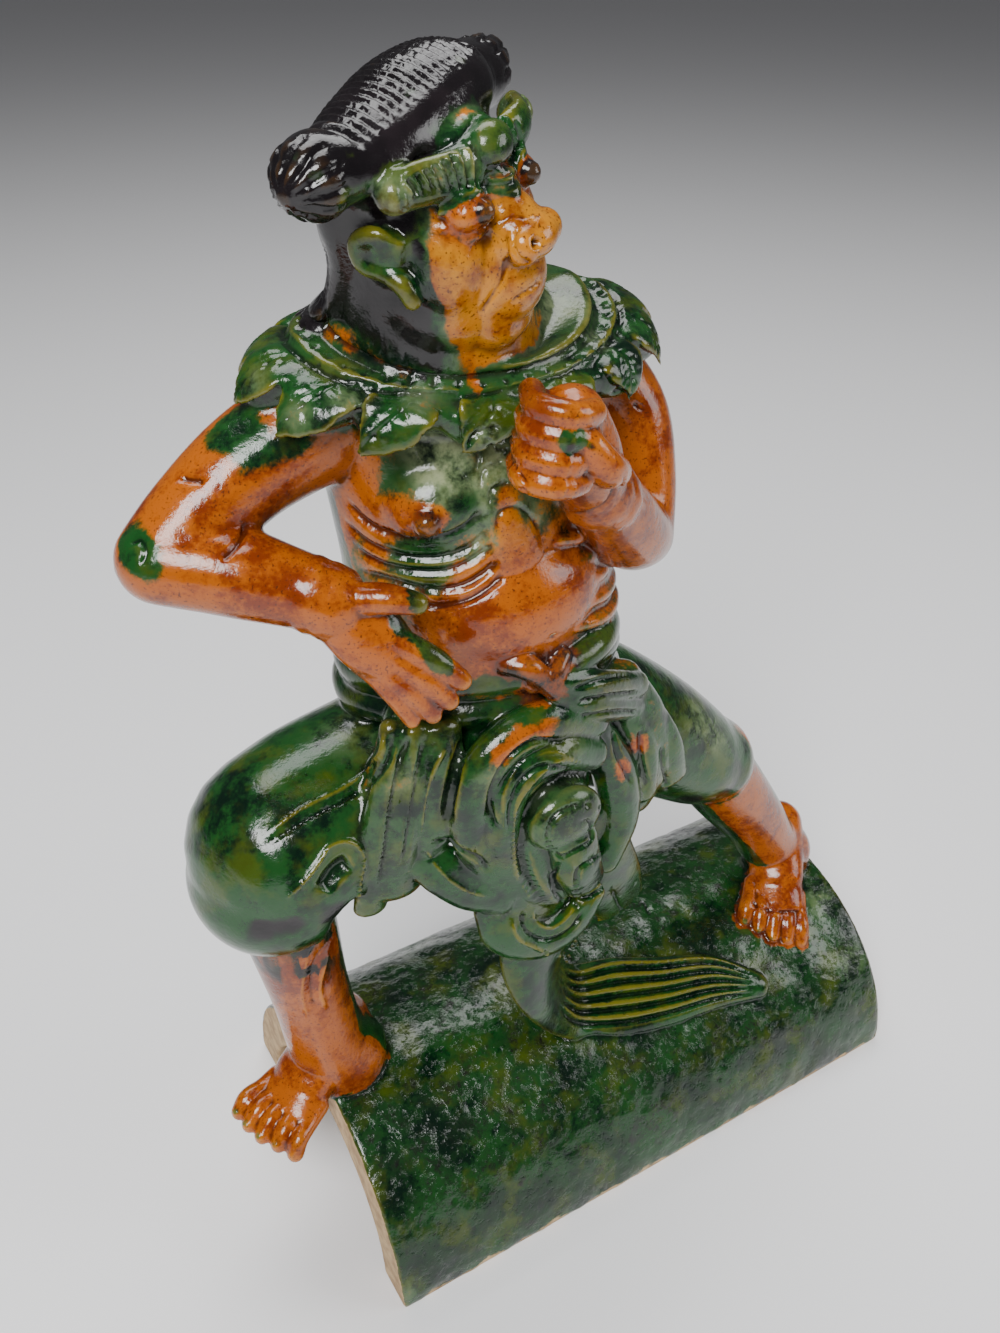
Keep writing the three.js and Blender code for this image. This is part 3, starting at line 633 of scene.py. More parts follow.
# Knot and bow of the sash
# The sash is tied over the belt: twisted coils make the knot, and three flat rolls are the bow's loop and
# ends, laid out to the figure's left.
roll(
    [
        (-71, -44, 213, 3.4), (-65, -48, 212, 4.6), (-60, -49, 207, 4.2), (-54, -49, 201, 4.8),
        (-49, -47, 203, 3.6),
    ],
    sides=18, tint="knotted",
)
roll([(-62, -47, 203, 3), (-56, -50, 207, 3.6), (-50, -47, 211, 3)], sides=14, tint="knotted")
for stations in (
    [(-50, -47, 206, 5), (-34, -42, 207, 6), (-17, -24, 203, 6), (-11, -2, 198, 5)],
    [(-54, -50, 204, 4, 4), (-37, -50, 196, 6, 5), (-12, -40, 181, 5.5, 5)],
    [(-54, -50, 199, 4, 4), (-37, -50, 187, 6, 5), (-13, -40, 172, 5.5, 5)],
):
    roll(stations, wide=UPWARDS, tint="belt")

# Pleats
# Folds of the skirt's panels are long thin rolls, pressed on them side by side.
for stations in (
    [
        (-108, -33, 193, 5, 4), (-112, -37, 176, 6, 5), (-118, -37, 150, 6, 5.5),
        (-121, -33, 116, 4.5, 5),
    ],
    [
        (-102, -38, 193, 4, 3.5), (-104, -41, 176, 5, 4), (-109, -41, 154, 5, 4.5),
        (-112, -37, 127, 4, 4.5),
    ],
    [(-93, -40, 192, 5, 5), (-95, -43, 175, 6, 6), (-98, -42, 153, 6, 6), (-99, -38, 134, 4, 5)],
    [(-17, -42, 174, 3.5, 3), (-8, -45, 150, 4, 4), (-5, -44, 128, 3.5, 3.5)],
    [(-4, -36, 170, 4, 3.5), (7, -40, 146, 5, 4.5), (12, -38, 126, 5, 6)],
):
    pleat = [(*place[:3], place[3] * 0.85, place[4] * 1.35) for place in stations]
    roll(pleat, wide=FRONTWARDS, steps=30, tint="pleat")


# Scrolls and ribbons
# Two rolls curl down from the knot round a cloud scroll, with a flap and a curl below it. Long ribbons
# sweep down to the tile and along its front slope.
for stations in (
    [
        (-36, -47, 178, 6, 7), (-58, -50, 188, 7, 9), (-78, -50, 183, 7, 9), (-87, -49, 168, 7, 9),
        (-86, -47, 150, 7, 9), (-78, -47, 130, 6, 9), (-70, -47, 112, 6, 7),
    ],
    [
        (-38, -50, 166, 6, 7), (-56, -53, 176, 7, 8), (-71, -53, 172, 7, 8), (-77, -52, 156, 7, 8),
        (-73, -50, 135, 6, 8), (-66, -49, 116, 5, 7),
    ],
    [(-32, -42, 170, 6, 7), (-22, -44, 147, 7, 9), (-18, -44, 122, 7, 9), (-25, -46, 104, 6, 7)],
    [(-60, -49, 160, 6, 12), (-62, -50, 138, 6, 14), (-58, -50, 116, 6, 13), (-48, -50, 104, 5, 10)],
    [(-50, -59, 136, 6, 10), (-47, -59, 122, 6, 10), (-42, -57, 110, 5, 9)],
    [(-108, -36, 140, 4, 5), (-96, -42, 130, 5, 10), (-84, -45, 120, 6, 12), (-72, -46, 108, 6, 9)],
    [
        (-76, -44, 103, 5, 8), (-70, -47, 89, 6, 11), (-56, -49, 79, 6, 11), (-42, -50, 81, 5, 9),
        (-32, -49, 92, 5, 6),
    ],
    [(-28, -43, 128, 4, 9), (-21, -41, 104, 5, 12), (-13, -39, 78, 4, 14), (-6, -36, 60, 3, 12)],
):
    roll(stations, wide=FRONTWARDS, sides=18, steps=36, tint="scroll")
ball(at(-53, -57, 147), (15.5, 7, 13.5), sides=28, tint="disc")


def lying(x, y, lift, half_width):
    """A station of the ribbon that lies on the tile."""
    return (x, y, tile_top(y) - TILE_HEIGHT + lift, 5, half_width)


RIBBON = [
    (-53, -42, 90, 6, 18), (-51, -41, 52, 6, 18), (-39, -35, 22, 6, 17),
    lying(-21, -29, 3, 17), lying(-2, -34, 2, 18), lying(20, -40, 2, 16), lying(46, -45, 1, 13),
    lying(70, -54, 0, 6),
]
OFF_SLOPE = Vector((0, -0.6, 0.8))
FIGURE_GRAIN = 0.8
FIGURE_SOFTENING = 2
roll(RIBBON, wide=OFF_SLOPE, sides=40, steps=70, tint="ribbon")

figure = settled(clay, "figure", FIGURE_GRAIN, soften=FIGURE_SOFTENING)

# Camera
# It looks down from above the figure's right shoulder, at the photograph's angle. Its focus is in pixels
# of the photograph.
PHOTO_WIDTH = 1000
PHOTO_HEIGHT = 1333
PHOTO_FOCUS = 1213.32
YAW = -0.548
PITCH = 0.608
TILT = 0.013
eye_spot = Vector((MIDDLE - 245.38, -325.92, 518.82))
camera_turn = Matrix.Rotation(YAW, 3, "Z") @ Matrix.Rotation(math.pi / 2 - PITCH, 3, "X")
camera_turn = camera_turn @ Matrix.Rotation(TILT, 3, "Z")
camera = bpy.data.cameras.new("camera")
camera.sensor_fit = "AUTO"
camera.lens = PHOTO_FOCUS / PHOTO_HEIGHT * camera.sensor_width
eye = bpy.data.objects.new("camera", camera)
bpy.context.scene.collection.objects.link(eye)
eye.location = eye_spot / 1000
eye.rotation_euler = camera_turn.to_euler()
bpy.context.scene.camera = eye

# Fine carving
# Over the damp clay go a comb, a knife and a wet finger: strands of hair, ribs of leaves and cloth, creases
# of skin and small chips. A stroke pushes the skin out or in, and fades at its sides and ends.
surface = BVHTree.FromBMesh(figure)
shape = bpy.data.meshes.new("shape")
figure.to_mesh(shape)
figure.free()
# A stroke fades over a share of its length at each end, and keeps to skin that faces its way. So many
# pairs of its points and the skin's are measured at once, which saves memory.
FADE = 0.12
SAME_SIDE = 0.1
PAIRS_AT_ONCE = 4000000


def listed(items, name, width=3, kind=np.float32):
    """Reads one value of every point or edge of a mesh."""
    values = np.empty(len(items) * width, kind)
    items.foreach_get(name, values)
    return values.reshape(-1, width)


points = listed(shape.vertices, "co")
normals = listed(shape.vertices, "normal")
push = np.zeros(len(points))


def seen(x, y):
    """The point of the skin that shows at a pixel of the photograph."""
    across = (x - PHOTO_WIDTH / 2) / PHOTO_FOCUS
    up = (PHOTO_HEIGHT / 2 - y) / PHOTO_FOCUS
    ray = camera_turn @ Vector((across, up, -1))
    return surface.ray_cast(eye_spot, ray.normalized())[0]


def carve(stations, width, depth, steps=40, ends=True, most=9):
    """Cuts a groove (depth below 0) or raises a ridge along a line through points near the skin."""
    stations = [spot for spot in stations if spot is not None]
    if len(stations) < 2:
        return
    line = []
    facing = []
    for spot in through(stations, np.linspace(0, 1, steps)):
        near, normal, _, gap = surface.find_nearest(Vector(spot))
        if gap < most:
            line.append(near)
            facing.append(normal)
    if len(line) < 2:
        return
    line = np.array(line)
    facing = np.array(facing)
    inside = (points > line.min(0) - width) & (points < line.max(0) + width)
    close = np.flatnonzero(inside.all(1))
    for block in np.array_split(close, len(close) * len(line) // PAIRS_AT_ONCE + 1):
        away = ((points[block, None] - line) ** 2).sum(2)
        nearest = away.argmin(1)
        share = 1 - np.minimum(away.min(1) / width**2, 1)
        from_end = np.minimum(nearest, len(line) - 1 - nearest)
        fade = np.minimum(1, from_end / (len(line) * FADE)) if ends else 1
        same_side = (normals[block] * facing[nearest]).sum(1) > SAME_SIDE
        push[block] += depth * share**2 * fade * same_side


# Strands of hair, combed back over the roll, round both knots, and down the nape
STRANDS = 19
for i in range(STRANDS):
    across = 27 - 54 * (i + 0.5) / STRANDS
    arc = [math.radians(a) for a in (42, 66, 92, 122, 150, 176)]
    over = [face(-3 + 19 * math.cos(a), across + 3 * math.cos(a), 24.5 + 13 * math.sin(a)) for a in arc]
    carve(over, 1.35, -1.0)
    down = [face(-9 - 18 * t, across * 0.8, 16 - 50 * t) for t in (0.35, 0.55, 0.75, 0.9, 1)]
    carve(down, 1.4, -0.7)
for side in (1, -1):
    for i in range(12):
        a = math.radians(30 * i)
        spoke = [
            face(-6 + out * 1.2 * math.cos(a), (46 - out * out * 0.12) * side, 21.5 + out * math.sin(a))
            for out in (1, 4, 7, 9.5)
        ]
        carve(spoke, 1.3, -0.9)
    neck = [
        face(-6 + 13 * math.cos(a), 28.5 * side, 22 + 11 * math.sin(a)) for a in (0.4, 1, 1.6, 2.4, 3)
    ]
    carve(neck, 2.2, -1.4)
# Brows: combed ribs that end in a spiral knot
RIBS = 8
for i in range(RIBS):
    groove = (
        (469 - 8.9 * i, 144 + 5 * i), (477 - 9.1 * i, 166 + 2.9 * i), (480 - 8.9 * i, 189 + 1.2 * i)
    )
    carve([seen(*pixel) for pixel in groove], 1.25, -2.0)
    comb = (
        (464.5 - 8.9 * i, 147 + 5 * i), (472.5 - 9.1 * i, 167 + 2.9 * i),
        (475.5 - 8.9 * i, 188 + 1.2 * i)
    )
    carve([seen(*pixel) for pixel in comb], 1.0, 0.7)
    back = 1.5 * i
    out = 2.2 * i
    far_side = ((23 - back, -8 - out, 22), (25 - back, -8.5 - out, 16), (23 - back, -9 - out, 11.5))
    carve([face(*place) for place in far_side], 1.25, -1.8)
for side in (1, -1):
    spiral = []
    for a, out in zip(np.linspace(0, 9, 14), np.linspace(1, 4.6, 14)):
        across = out * math.cos(a)
        place = face(15.5, 27.3 * side + across * 0.6, 16 + out * math.sin(a))
        spiral.append(place + RIGHT * 1.5 * side + FORWARD * across * 0.6)
    carve(spiral, 0.8, -0.9, steps=90)

# Each crease or fold: its half width, its depth, and the pixels of the photograph that it runs through
CREASES = (
    # Cheek, corner of the nose, mouth and lids
    (1.2, -0.9, [(505, 230), (507, 252), (503, 276), (492, 296), (480, 314)]),
    (0.9, -0.8, [(498, 224), (512, 216), (528, 218)]),
    (0.9, -1.1, [(519, 227), (513, 243), (518, 257), (530, 263)]),
    (0.9, -1.0, [(510, 304), (520, 296), (534, 287), (541, 281)]),
    (1.0, -1.2, [(486, 167), (504, 165), (516, 160)]),
    (1.0, -1.0, [(486, 177), (506, 175), (513, 170)]),
    (1.1, -1.0, [(398, 175), (426, 156), (454, 141), (468, 126), (488, 113)]),
    # Rolls of skin under the ribs
    (2.3, -1.7, [(344, 497), (367, 523), (399, 537), (436, 539), (467, 526), (487, 509)]),
    (2.3, -1.7, [(341, 517), (367, 543), (401, 556), (441, 557), (473, 546), (491, 529)]),
    (2.3, -1.7, [(350, 543), (379, 563), (413, 571), (453, 569), (481, 554), (496, 543)]),
    (2.3, -1.6, [(353, 566), (390, 580), (424, 589), (461, 586), (487, 571), (501, 560)]),
    (2.1, -1.4, [(401, 597), (430, 606), (467, 600), (490, 586), (504, 574)]),
    # Rings of the windpipe
    (1.2, -1.3, [(469, 458), (472, 438), (490, 429), (510, 437), (521, 457)]),
    (1.2, -1.3, [(477, 480), (478, 457), (491, 446), (508, 450), (521, 468)]),
    (1.2, -1.3, [(480, 490), (484, 470), (501, 462), (520, 474), (529, 488)]),
    (1.2, -1.3, [(489, 508), (493, 489), (507, 483), (524, 490), (533, 508)]),
    (1.2, -1.3, [(496, 535), (499, 514), (513, 507), (530, 514), (540, 531)]),
    # Scrolls of the sash
    (1.8, -2.0, [(566, 742), (532, 742), (508, 760), (494, 785), (490, 810), (501, 834)]),
    (1.2, 0.8, [(575, 758), (548, 752), (520, 765), (505, 790), (502, 815)]),
    (1.6, -1.7, [(574, 768), (542, 766), (522, 780), (511, 805), (509, 835)]),
    (3.4, -2.6, [(600, 780), (575, 775), (548, 787), (527, 812), (522, 845), (528, 878), (545, 905)]),
    (1.3, 0.9, [(590, 764), (560, 760), (535, 780), (516, 808), (513, 845), (520, 880)]),
    (
        1.4, -1.7,
        [
            (602, 812), (578, 805), (556, 815), (547, 836), (558, 856), (576, 850), (592, 838),
            (590, 822), (575, 822),
        ]
    ),
    (1.5, -1.9, [(606, 845), (596, 858), (580, 868), (576, 884), (584, 898), (598, 892), (603, 880)]),
    (1.5, -1.7, [(560, 862), (552, 880), (560, 900), (580, 908)]),
    (1.6, -1.8, [(430, 842), (455, 845), (478, 858), (490, 872)]),
    (1.2, 0.9, [(424, 846), (438, 868), (462, 888), (490, 897)]),
    (1.4, 1.3, [(510, 918), (518, 938), (543, 951), (575, 941), (594, 912)]),
    (1.6, -1.6, [(522, 912), (528, 932), (548, 940), (570, 930), (586, 908)]),
    (1.4, 1.1, [(532, 908), (536, 922), (550, 928), (566, 918), (576, 905)]),
    (1.4, -1.5, [(612, 890), (622, 910), (640, 925)]),
    (1.4, -1.4, [(632, 880), (642, 900), (650, 915)]),
    # Skirt panel and the breeches' hem
    (1.6, -1.6, [(392, 732), (390, 755), (377, 776), (351, 797), (310, 818), (262, 847)]),
    (1.5, 1.2, [(384, 732), (380, 754), (364, 775), (338, 791), (300, 810), (262, 838)]),
    (1.5, -1.7, [(409, 736), (400, 762), (392, 800), (385, 850), (378, 892)]),
    (1.4, -1.6, [(424, 736), (416, 780), (408, 830), (402, 868)]),
    (1.5, 1.3, [(446, 745), (432, 775), (423, 810), (420, 838)]),
    (3.0, -2.6, [(462, 738), (454, 780), (448, 822)]),
    (5.5, -3.6, [(322, 892), (336, 872), (350, 862)]),
    (
        1.5, 1.6,
        [(280, 903), (305, 880), (320, 860), (331, 845), (350, 842), (363, 855), (359, 885), (354, 910)]
    ),
    # Bow and the panel under it
    (1.4, -1.4, [(572, 690), (600, 680), (634, 675)]),
    (1.4, -1.4, [(575, 703), (608, 696), (640, 692)]),
    (1.4, -1.3, [(580, 716), (610, 712), (640, 712)]),
    (1.8, -1.6, [(612, 730), (618, 755), (632, 785)]),
    (1.8, -1.7, [(640, 730), (640, 755), (648, 790)]),
    (1.8, -1.6, [(662, 745), (664, 770), (668, 795)]),
    # Sinews of the right shin, and the crease over the left toes
    (1.5, 0.9, [(345, 928), (328, 950), (320, 985), (326, 1010)]),
    (1.5, 0.8, [(326, 930), (306, 962), (302, 992), (308, 1020)]),
    (1.3, -0.8, [(336, 928), (318, 955), (311, 985), (316, 1012)]),
    (1.2, -1.0, [(737, 903), (770, 911), (803, 911)]),
    # Elbows and the inside of each arm
    (1.6, -1.3, [(160, 470), (180, 478), (205, 482)]),
    (1.8, -1.4, [(222, 560), (236, 545), (250, 522)]),
    (1.4, -1.0, [(128, 545), (140, 540), (146, 552), (141, 566)]),
    (1.5, -1.2, [(612, 392), (630, 398), (650, 412)]),
    (1.5, -1.2, [(570, 512), (590, 512), (612, 495), (622, 470)]),
)
for width, depth, pixels in CREASES:
    carve([seen(*pixel) for pixel in pixels], width, depth)
# A nostril, and a chip on the belly
for x, y, width, depth in ((537, 243, 2.0, -3.2), (553, 637, 1.8, -1.2)):
    carve([seen(x - 0.5, y), seen(x + 0.5, y)], width, depth, steps=3, ends=False)
# Five folds run the length of the long ribbon
for fold in (-0.7, -0.35, 0, 0.35, 0.7):
    for offset, depth in ((0, -1.9), (0.17, 1.3)):
        path = []
        for before, place, after in zip(RIBBON[1:-1], RIBBON[2:], RIBBON[3:] + RIBBON[-1:]):
            ahead = (Vector(after[:3]) - Vector(before[:3])).normalized()
            across = OFF_SLOPE.cross(ahead) * (fold + offset) * place[4]
            path.append(at(*place[:3]) + across + OFF_SLOPE * 6)
        carve(path, 1.9, depth, steps=90, most=14)
# Leaves: a midrib and side veins on each, and round notches on the band round the neck
for i in range(LEAVES):
    turn = (i + 0.5) * 360 / LEAVES + 180
    midrib = ((turn - 4, 0.5, 3), (turn - 2, 0.7, 3), (turn + 2, 0.9, 2), (turn + 4, 1.04, 1))
    carve([cape_skin(*place) for place in midrib], 1.1, -0.7)
    for j in range(4):
        share = 0.52 + 0.12 * j
        for lean in (-1, 1):
            root = turn - 3 + 2 * j
            vein = ((root + lean, share, 3), (root + lean * 5.5, share + 0.12, 2))
            carve([cape_skin(*place) for place in vein], 1.0, -0.55, steps=14)
    for j in range(3):
        notch = turn + (j - 1) * 360 / LEAVES / 3
        carve([cape_skin(notch, 0.27, 3), cape_skin(notch + 1, 0.35, 3)], 1.7, -1.0, steps=10)
for share, depth in ((0.2, -1.2), (0.46, -1.0)):
    for start in range(0, 360, 40):
        carve([cape_skin(start + a, share, 3) for a in range(0, 41, 8)], 1.1, depth, ends=False)

# The skin as carved, with how far each point stands out from its surroundings, from hollow 0 to ridge 1
FINISHED_TRIANGLES = 192000
TILE_SKIN = 0.012
DENT_SIZES = (13, 5, 2.4)


def evened(values, edges, rounds):
    """Each point takes the mean of its neighbours, some rounds over."""
    one, other = edges[:, 0], edges[:, 1]
    neighbours = np.maximum(np.bincount(edges.ravel(), minlength=len(values)), 1)
    for _ in range(rounds):
        total = np.bincount(one, values[other], len(values))
        total += np.bincount(other, values[one], len(values))
        values = 0.3 * values + 0.7 * total / neighbours
    return values


def mark(mesh, name, values):
    """Gives every point of a mesh a number or a colour, which the glaze reads."""
    kind, field = ("FLOAT_COLOR", "color") if values.ndim > 1 else ("FLOAT", "value")
    layer = mesh.attributes.new(name, kind, "POINT")
    layer.data.foreach_set(field, values.astype(np.float32).ravel())


points += normals * push[:, None].astype(np.float32)
tile_round = np.hypot(points[:, 1] / (TILE_WIDTH / 2), points[:, 2] / TILE_HEIGHT)
on_tile = abs(points[:, 0] - MIDDLE) < TILE_LENGTH / 2 + 1
for i in np.flatnonzero((abs(tile_round - 1) < TILE_SKIN) & on_tile):
    spot = Vector(points[i].tolist())
    broad, small, pits = (noise.noise(spot / size) for size in DENT_SIZES)
    points[i] += normals[i] * (0.7 * broad + 0.35 * small - 0.5 * max(pits - 0.3, 0) - 0.45)
edges = listed(shape.edges, "vertices", 2, np.int32)
near_by, around = (
    np.stack([evened(points[:, i].astype(float), edges, rounds) for i in range(3)], axis=1)
    for rounds in (1, 12)
)
bulge = ((near_by - around) * normals).sum(1)
relief = evened(np.clip(0.5 + bulge + 0.12 * push, 0, 1), edges, 1)
points *= 0.001
points = np.clip(points, cad_box[0], cad_box[1]).astype(np.float32)
shape.vertices.foreach_set("co", points.ravel())
mark(shape, "relief", relief)
guardian = bpy.data.objects.new("ridge_guardian_glazed", shape)
bpy.context.scene.collection.objects.link(guardian)
thin = guardian.modifiers.new("thin", "DECIMATE")
thin.ratio = FINISHED_TRIANGLES / sum(len(polygon.vertices) - 2 for polygon in shape.polygons)
bpy.context.view_layer.update()
graph = bpy.context.evaluated_depsgraph_get()
final = bpy.data.meshes.new_from_object(guardian.evaluated_get(graph))
guardian.modifiers.clear()
guardian.data = final
final.polygons.foreach_set("use_smooth", [True] * len(final.polygons))

# Glaze
# Lead glazes, brushed on in amber, green and a brown that is nearly black, ran together in the kiln. They
# lie thin and yellow on each ridge, thick and dark in each hollow, and stop short of the tile's ends.
# A coat is its share of amber, dark, pale and bare clay; the rest of it is green. Pale daubs are painted
# highlights
AMBER = (1, 0, 0, 0)
GREEN = (0, 0, 0, 0)
DARK = (0, 1, 0, 0)
PALE_HIGHLIGHT = (0, 0, 1, 0)
OLIVE = (0.3, 0, 0.35, 0)
BARE = (0, 0, 0, 1)
FIRST_COAT = {
    "tile": (0, 0.42, 0, 0), "chest": (0.45, 0, 0.15, 0), "amber": AMBER, "face": (0.95, 0, 0.7, 0),
    "brow": (0.12, 0.05, 0, 0), "hair": DARK, "cape": (0.05, 0.25, 0.05, 0), "leaf": (0.08, 0.05, 0, 0),
    "foot": AMBER, "shin": AMBER, "calf": (0, 0.2, 0, 0), "breeches": (0.1, 0.02, 0, 0), "hollow": DARK,
    "belt": (0.1, 0.4, 0, 0), "skirt": (0.4, 0, 0, 0), "sash": (0, 0.3, 0, 0), "eye": AMBER,
    "lid": (0.5, 0.3, 0, 0), "pupil": (1, 0.64, 0, 0), "knot": (0, 0, 0.4, 0), "ear": (0, 0.12, 0, 0),
    "jaw": (0, 0.8, 0, 0), "rib": (0.5, 0, 0, 0), "windpipe": (0.3, 0, 0.6, 0),
    "nail": (0.3, 0.1, 0.3, 0), "nipple": (1, 0.6, 0, 0), "knotted": (0.9, 0.56, 0, 0),
    "pleat": (0.15, 0, 0.05, 0), "scroll": (0.12, 0.08, 0, 0), "disc": (0.1, 0, 0.1, 0),
    "ribbon": (0.05, 0.25, 0, 0),
}
OWN_COAT = {"tile", "pupil", "nipple", "knotted"}
CRISP = {"eye", "lid", "nail", "ear", "knot", "hair"}
# How deep under the skin a form may lie and still tint it, and how far ahead of the head's middle the
# dark and the green of its sides end, in millimetres
SKIN_REACH = 3
DARK_EDGE = 13
GREEN_EDGE = 16.5
WAIST = TILE_HEIGHT + BELT["z"]
spots = listed(final.vertices, "co").astype(float) * 1000
facing = listed(final.vertices, "normal")
edges = listed(final.edges, "vertices", 2, np.int32)


def wander(spread, step, seed):
    """Seeded noise at each point, for edges that run unevenly."""
    start = Vector((seed, 0, 0))
    return np.array([noise.noise(Vector(spot) / step + start) for spot in spots]) * spread


# Only the forms that show on the outside give the skin their coat
drift = np.stack([wander(4, 14, seed) for seed in (0, 31, 67)], axis=1)
shifted = spots + drift
places = np.vstack(skin)
outer = [i for i, place in enumerate(places) if surface.find_nearest(Vector(place), SKIN_REACH)[0]]
near_tint = kdtree.KDTree(len(outer))
for i in outer:
    near_tint.insert(places[i], i)
near_tint.balance()
coats = np.array([FIRST_COAT[tint] for tint in tints], float)


def brushed(i, tint):
    """The coat of a point of the skin, from the form that it lies on, its place and the way it faces."""
    x, y, _ = facing[i]
    if tint in OWN_COAT:
        return FIRST_COAT[tint]
    if tint == "chest" and (spots[i, 2] < WAIST or y + 0.1 * drift[i, 0] > 0.1):
        return FIRST_COAT["breeches"]
    if tint in ("face", "jaw"):
        ahead = (Vector(shifted[i]) - HEAD).dot(FORWARD)
        return DARK if ahead < DARK_EDGE else GREEN if ahead < GREEN_EDGE else FIRST_COAT["face"]
    if tint in ("shin", "foot"):
        behind = x + 0.7 * y + 0.08 * drift[i, 0] > 0.3
        outside = spots[i, 0] > MIDDLE and -x > 0.55
        return FIRST_COAT["calf" if tint == "shin" and (behind or outside) else tint]
    hits = near_tint.find_n(spots[i] if tint in CRISP else shifted[i], 3)
    weights = np.array([1 / (hit[2] + 0.4) for hit in hits])
    return weights @ coats[[hit[1] for hit in hits]] / weights.sum()


nearest_tint = [tints[near_tint.find(spot)[1]] for spot in spots]
tile_share = np.array([tint == "tile" for tint in nearest_tint], float)
coat = np.array([brushed(i, tint) for i, tint in enumerate(nearest_tint)])

# Daubs of the brush, and pale daubs of painted highlight: the glaze, its strength, its radius, and the
# pixels where it shows in the photograph
DAUBS = (
    (GREEN, 0.9, 6, [(345, 205), (362, 195), (500, 145)]),
    (AMBER, 0.6, 4, [(476, 372), (478, 385)]),
    (AMBER, 0.45, 7, [(330, 330), (350, 343), (375, 352), (405, 368)]),
    # Painted highlight: pale grey-green on the top of the chest and over the windpipe
    (PALE_HIGHLIGHT, 1, 11, [(436, 462), (445, 480), (425, 455)]),
    (PALE_HIGHLIGHT, 0.6, 6, [(490, 440), (492, 460)]),
    (AMBER, 1, 10, [(355, 475), (350, 505), (370, 520), (395, 520)]),
    (GREEN, 1, 7, [(466, 500), (470, 520), (455, 530), (400, 470), (395, 440)]),
    (GREEN, 1, 10, [(430, 550), (430, 575), (425, 600), (410, 560)]),
    (AMBER, 0.8, 6, [(505, 495), (508, 520), (345, 530), (370, 555)]),
    (AMBER, 1, 22, [(530, 580), (530, 620)]),
    (AMBER, 0.8, 5, [(487, 560), (480, 585), (470, 600)]),
    (GREEN, 1, 9, [(425, 640), (440, 655), (400, 620)]),
    (GREEN, 1, 12, [(225, 430), (245, 440), (600, 385), (640, 380)]),
    (GREEN, 1, 5, [(563, 440), (572, 448), (580, 435)]),
    (DARK, 1, 3, [(567, 448), (592, 447)]),
    (BARE, 1, 1.8, [(197, 811), (196, 917), (241, 817), (553, 637), (252, 452)]),
    (OLIVE, 0.9, 7, [(255, 380), (300, 420), (350, 400), (420, 400), (600, 340), (470, 160)]),
    (OLIVE, 0.9, 7, [(440, 170)]),
    (OLIVE, 0.5, 4, [(345, 150), (320, 175), (410, 90), (460, 60), (300, 155)]),
    # Painted highlight: pale grey on the top of the left breeches and on the cape's far side
    (PALE_HIGHLIGHT, 0.5, 12, [(700, 720), (720, 740), (560, 310)]),
    (GREEN, 1, 5, [(385, 245), (402, 264), (412, 279)]),
    (GREEN, 1, 11, [(130, 540), (140, 560)]),
    (GREEN, 0.9, 6, [(180, 440), (250, 455), (275, 455), (300, 450)]),
    (AMBER, 0.8, 6, [(545, 728), (520, 738), (500, 755)]),
    (AMBER, 0.7, 3, [(460, 695), (480, 698), (500, 697)]),
    (OLIVE, 0.8, 8, [(490, 780), (575, 745), (400, 780), (345, 725), (360, 740)]),
    (AMBER, 0.8, 7, [(625, 770), (640, 745)]),
    (DARK, 0.9, 9, [(262, 930), (290, 925), (330, 915), (690, 800)]),
    (OLIVE, 0.7, 14, [(820, 900), (850, 960), (370, 1230), (400, 1290), (640, 1180)]),
)
DAUB_EDGE = 1.7
for colour, strength, radius, pixels in DAUBS:
    for pixel in pixels:
        middle = seen(*pixel)
        if middle is None:
            continue
        away = np.linalg.norm(spots + drift / 2 - np.array(middle), axis=1) / radius
        share = strength * np.clip(DAUB_EDGE * (1 - away), 0, 1)[:, None] ** 1.5
        coat = coat * (1 - share) + np.array(colour) * share

# The tile's ends, its underside and its lower rim keep no glaze
RIM_HEIGHT = 5
at_end = np.abs(spots[:, 0] - MIDDLE) > TILE_LENGTH / 2 - 2
end_face = (np.abs(facing[:, 0]) > 0.85) & at_end
inner_across = spots[:, 1] / (TILE_WIDTH / 2 - TILE_WALL)
inner_up = spots[:, 2] / (TILE_HEIGHT - TILE_WALL)
under = (np.hypot(inner_across, inner_up) < 1.06) | (facing[:, 2] < -0.9)
rim = np.clip(1.3 - spots[:, 2] / RIM_HEIGHT, 0, 1) * (0.6 + wander(0.8, 9, 5))
bare = tile_share * np.clip(np.maximum(end_face, under) + rim, 0, 1)
coat = coat * (1 - bare[:, None]) + np.array(BARE) * bare[:, None]
coat = np.stack([evened(coat[:, i], edges, 1) for i in range(4)], axis=1)
mark(final, "coat", coat)
mark(final, "pitted", evened(tile_share, edges, 2))

glaze = bpy.data.materials.new("glaze")
glaze.use_nodes = True
nodes, wires = glaze.node_tree.nodes, glaze.node_tree.links
bsdf = nodes["Principled BSDF"]


def srgb(*levels):
    """A colour from its red, green and blue levels as a screen shows them, 0 to 255."""
    shares = (level / 255 for level in levels)
    return (*(c / 12.92 if c < 0.0404 else ((c + 0.055) / 1.055) ** 2.4 for c in shares), 1)


def node(kind, **settings):
    """Adds a shader node, with its inputs and choices set."""
    made = nodes.new(kind)
    for name, value in settings.items():
        if name in made.inputs:
            made.inputs[name].default_value = value
        else:
            setattr(made, name, value)
    return made


def fed(socket, value):
    """Sets a socket to a number or a colour, or wires another node's output to it."""
    if isinstance(value, (tuple, float, int)):
        socket.default_value = value
    else:
        wires.new(value, socket)


def mixed(share, first, second):
    """Mixes a share of the second glaze into the first."""
    mix = node("ShaderNodeMix", data_type="RGBA")
    for place, value in ((0, share), (6, first), (7, second)):
        fed(mix.inputs[place], value)
    return mix.outputs[2]


def maths(operation, *values):
    """One step of arithmetic on masks and heights."""
    step = node("ShaderNodeMath", operation=operation)
    for socket, value in zip(step.inputs, values):
        fed(socket, value)
    return step.outputs[0]


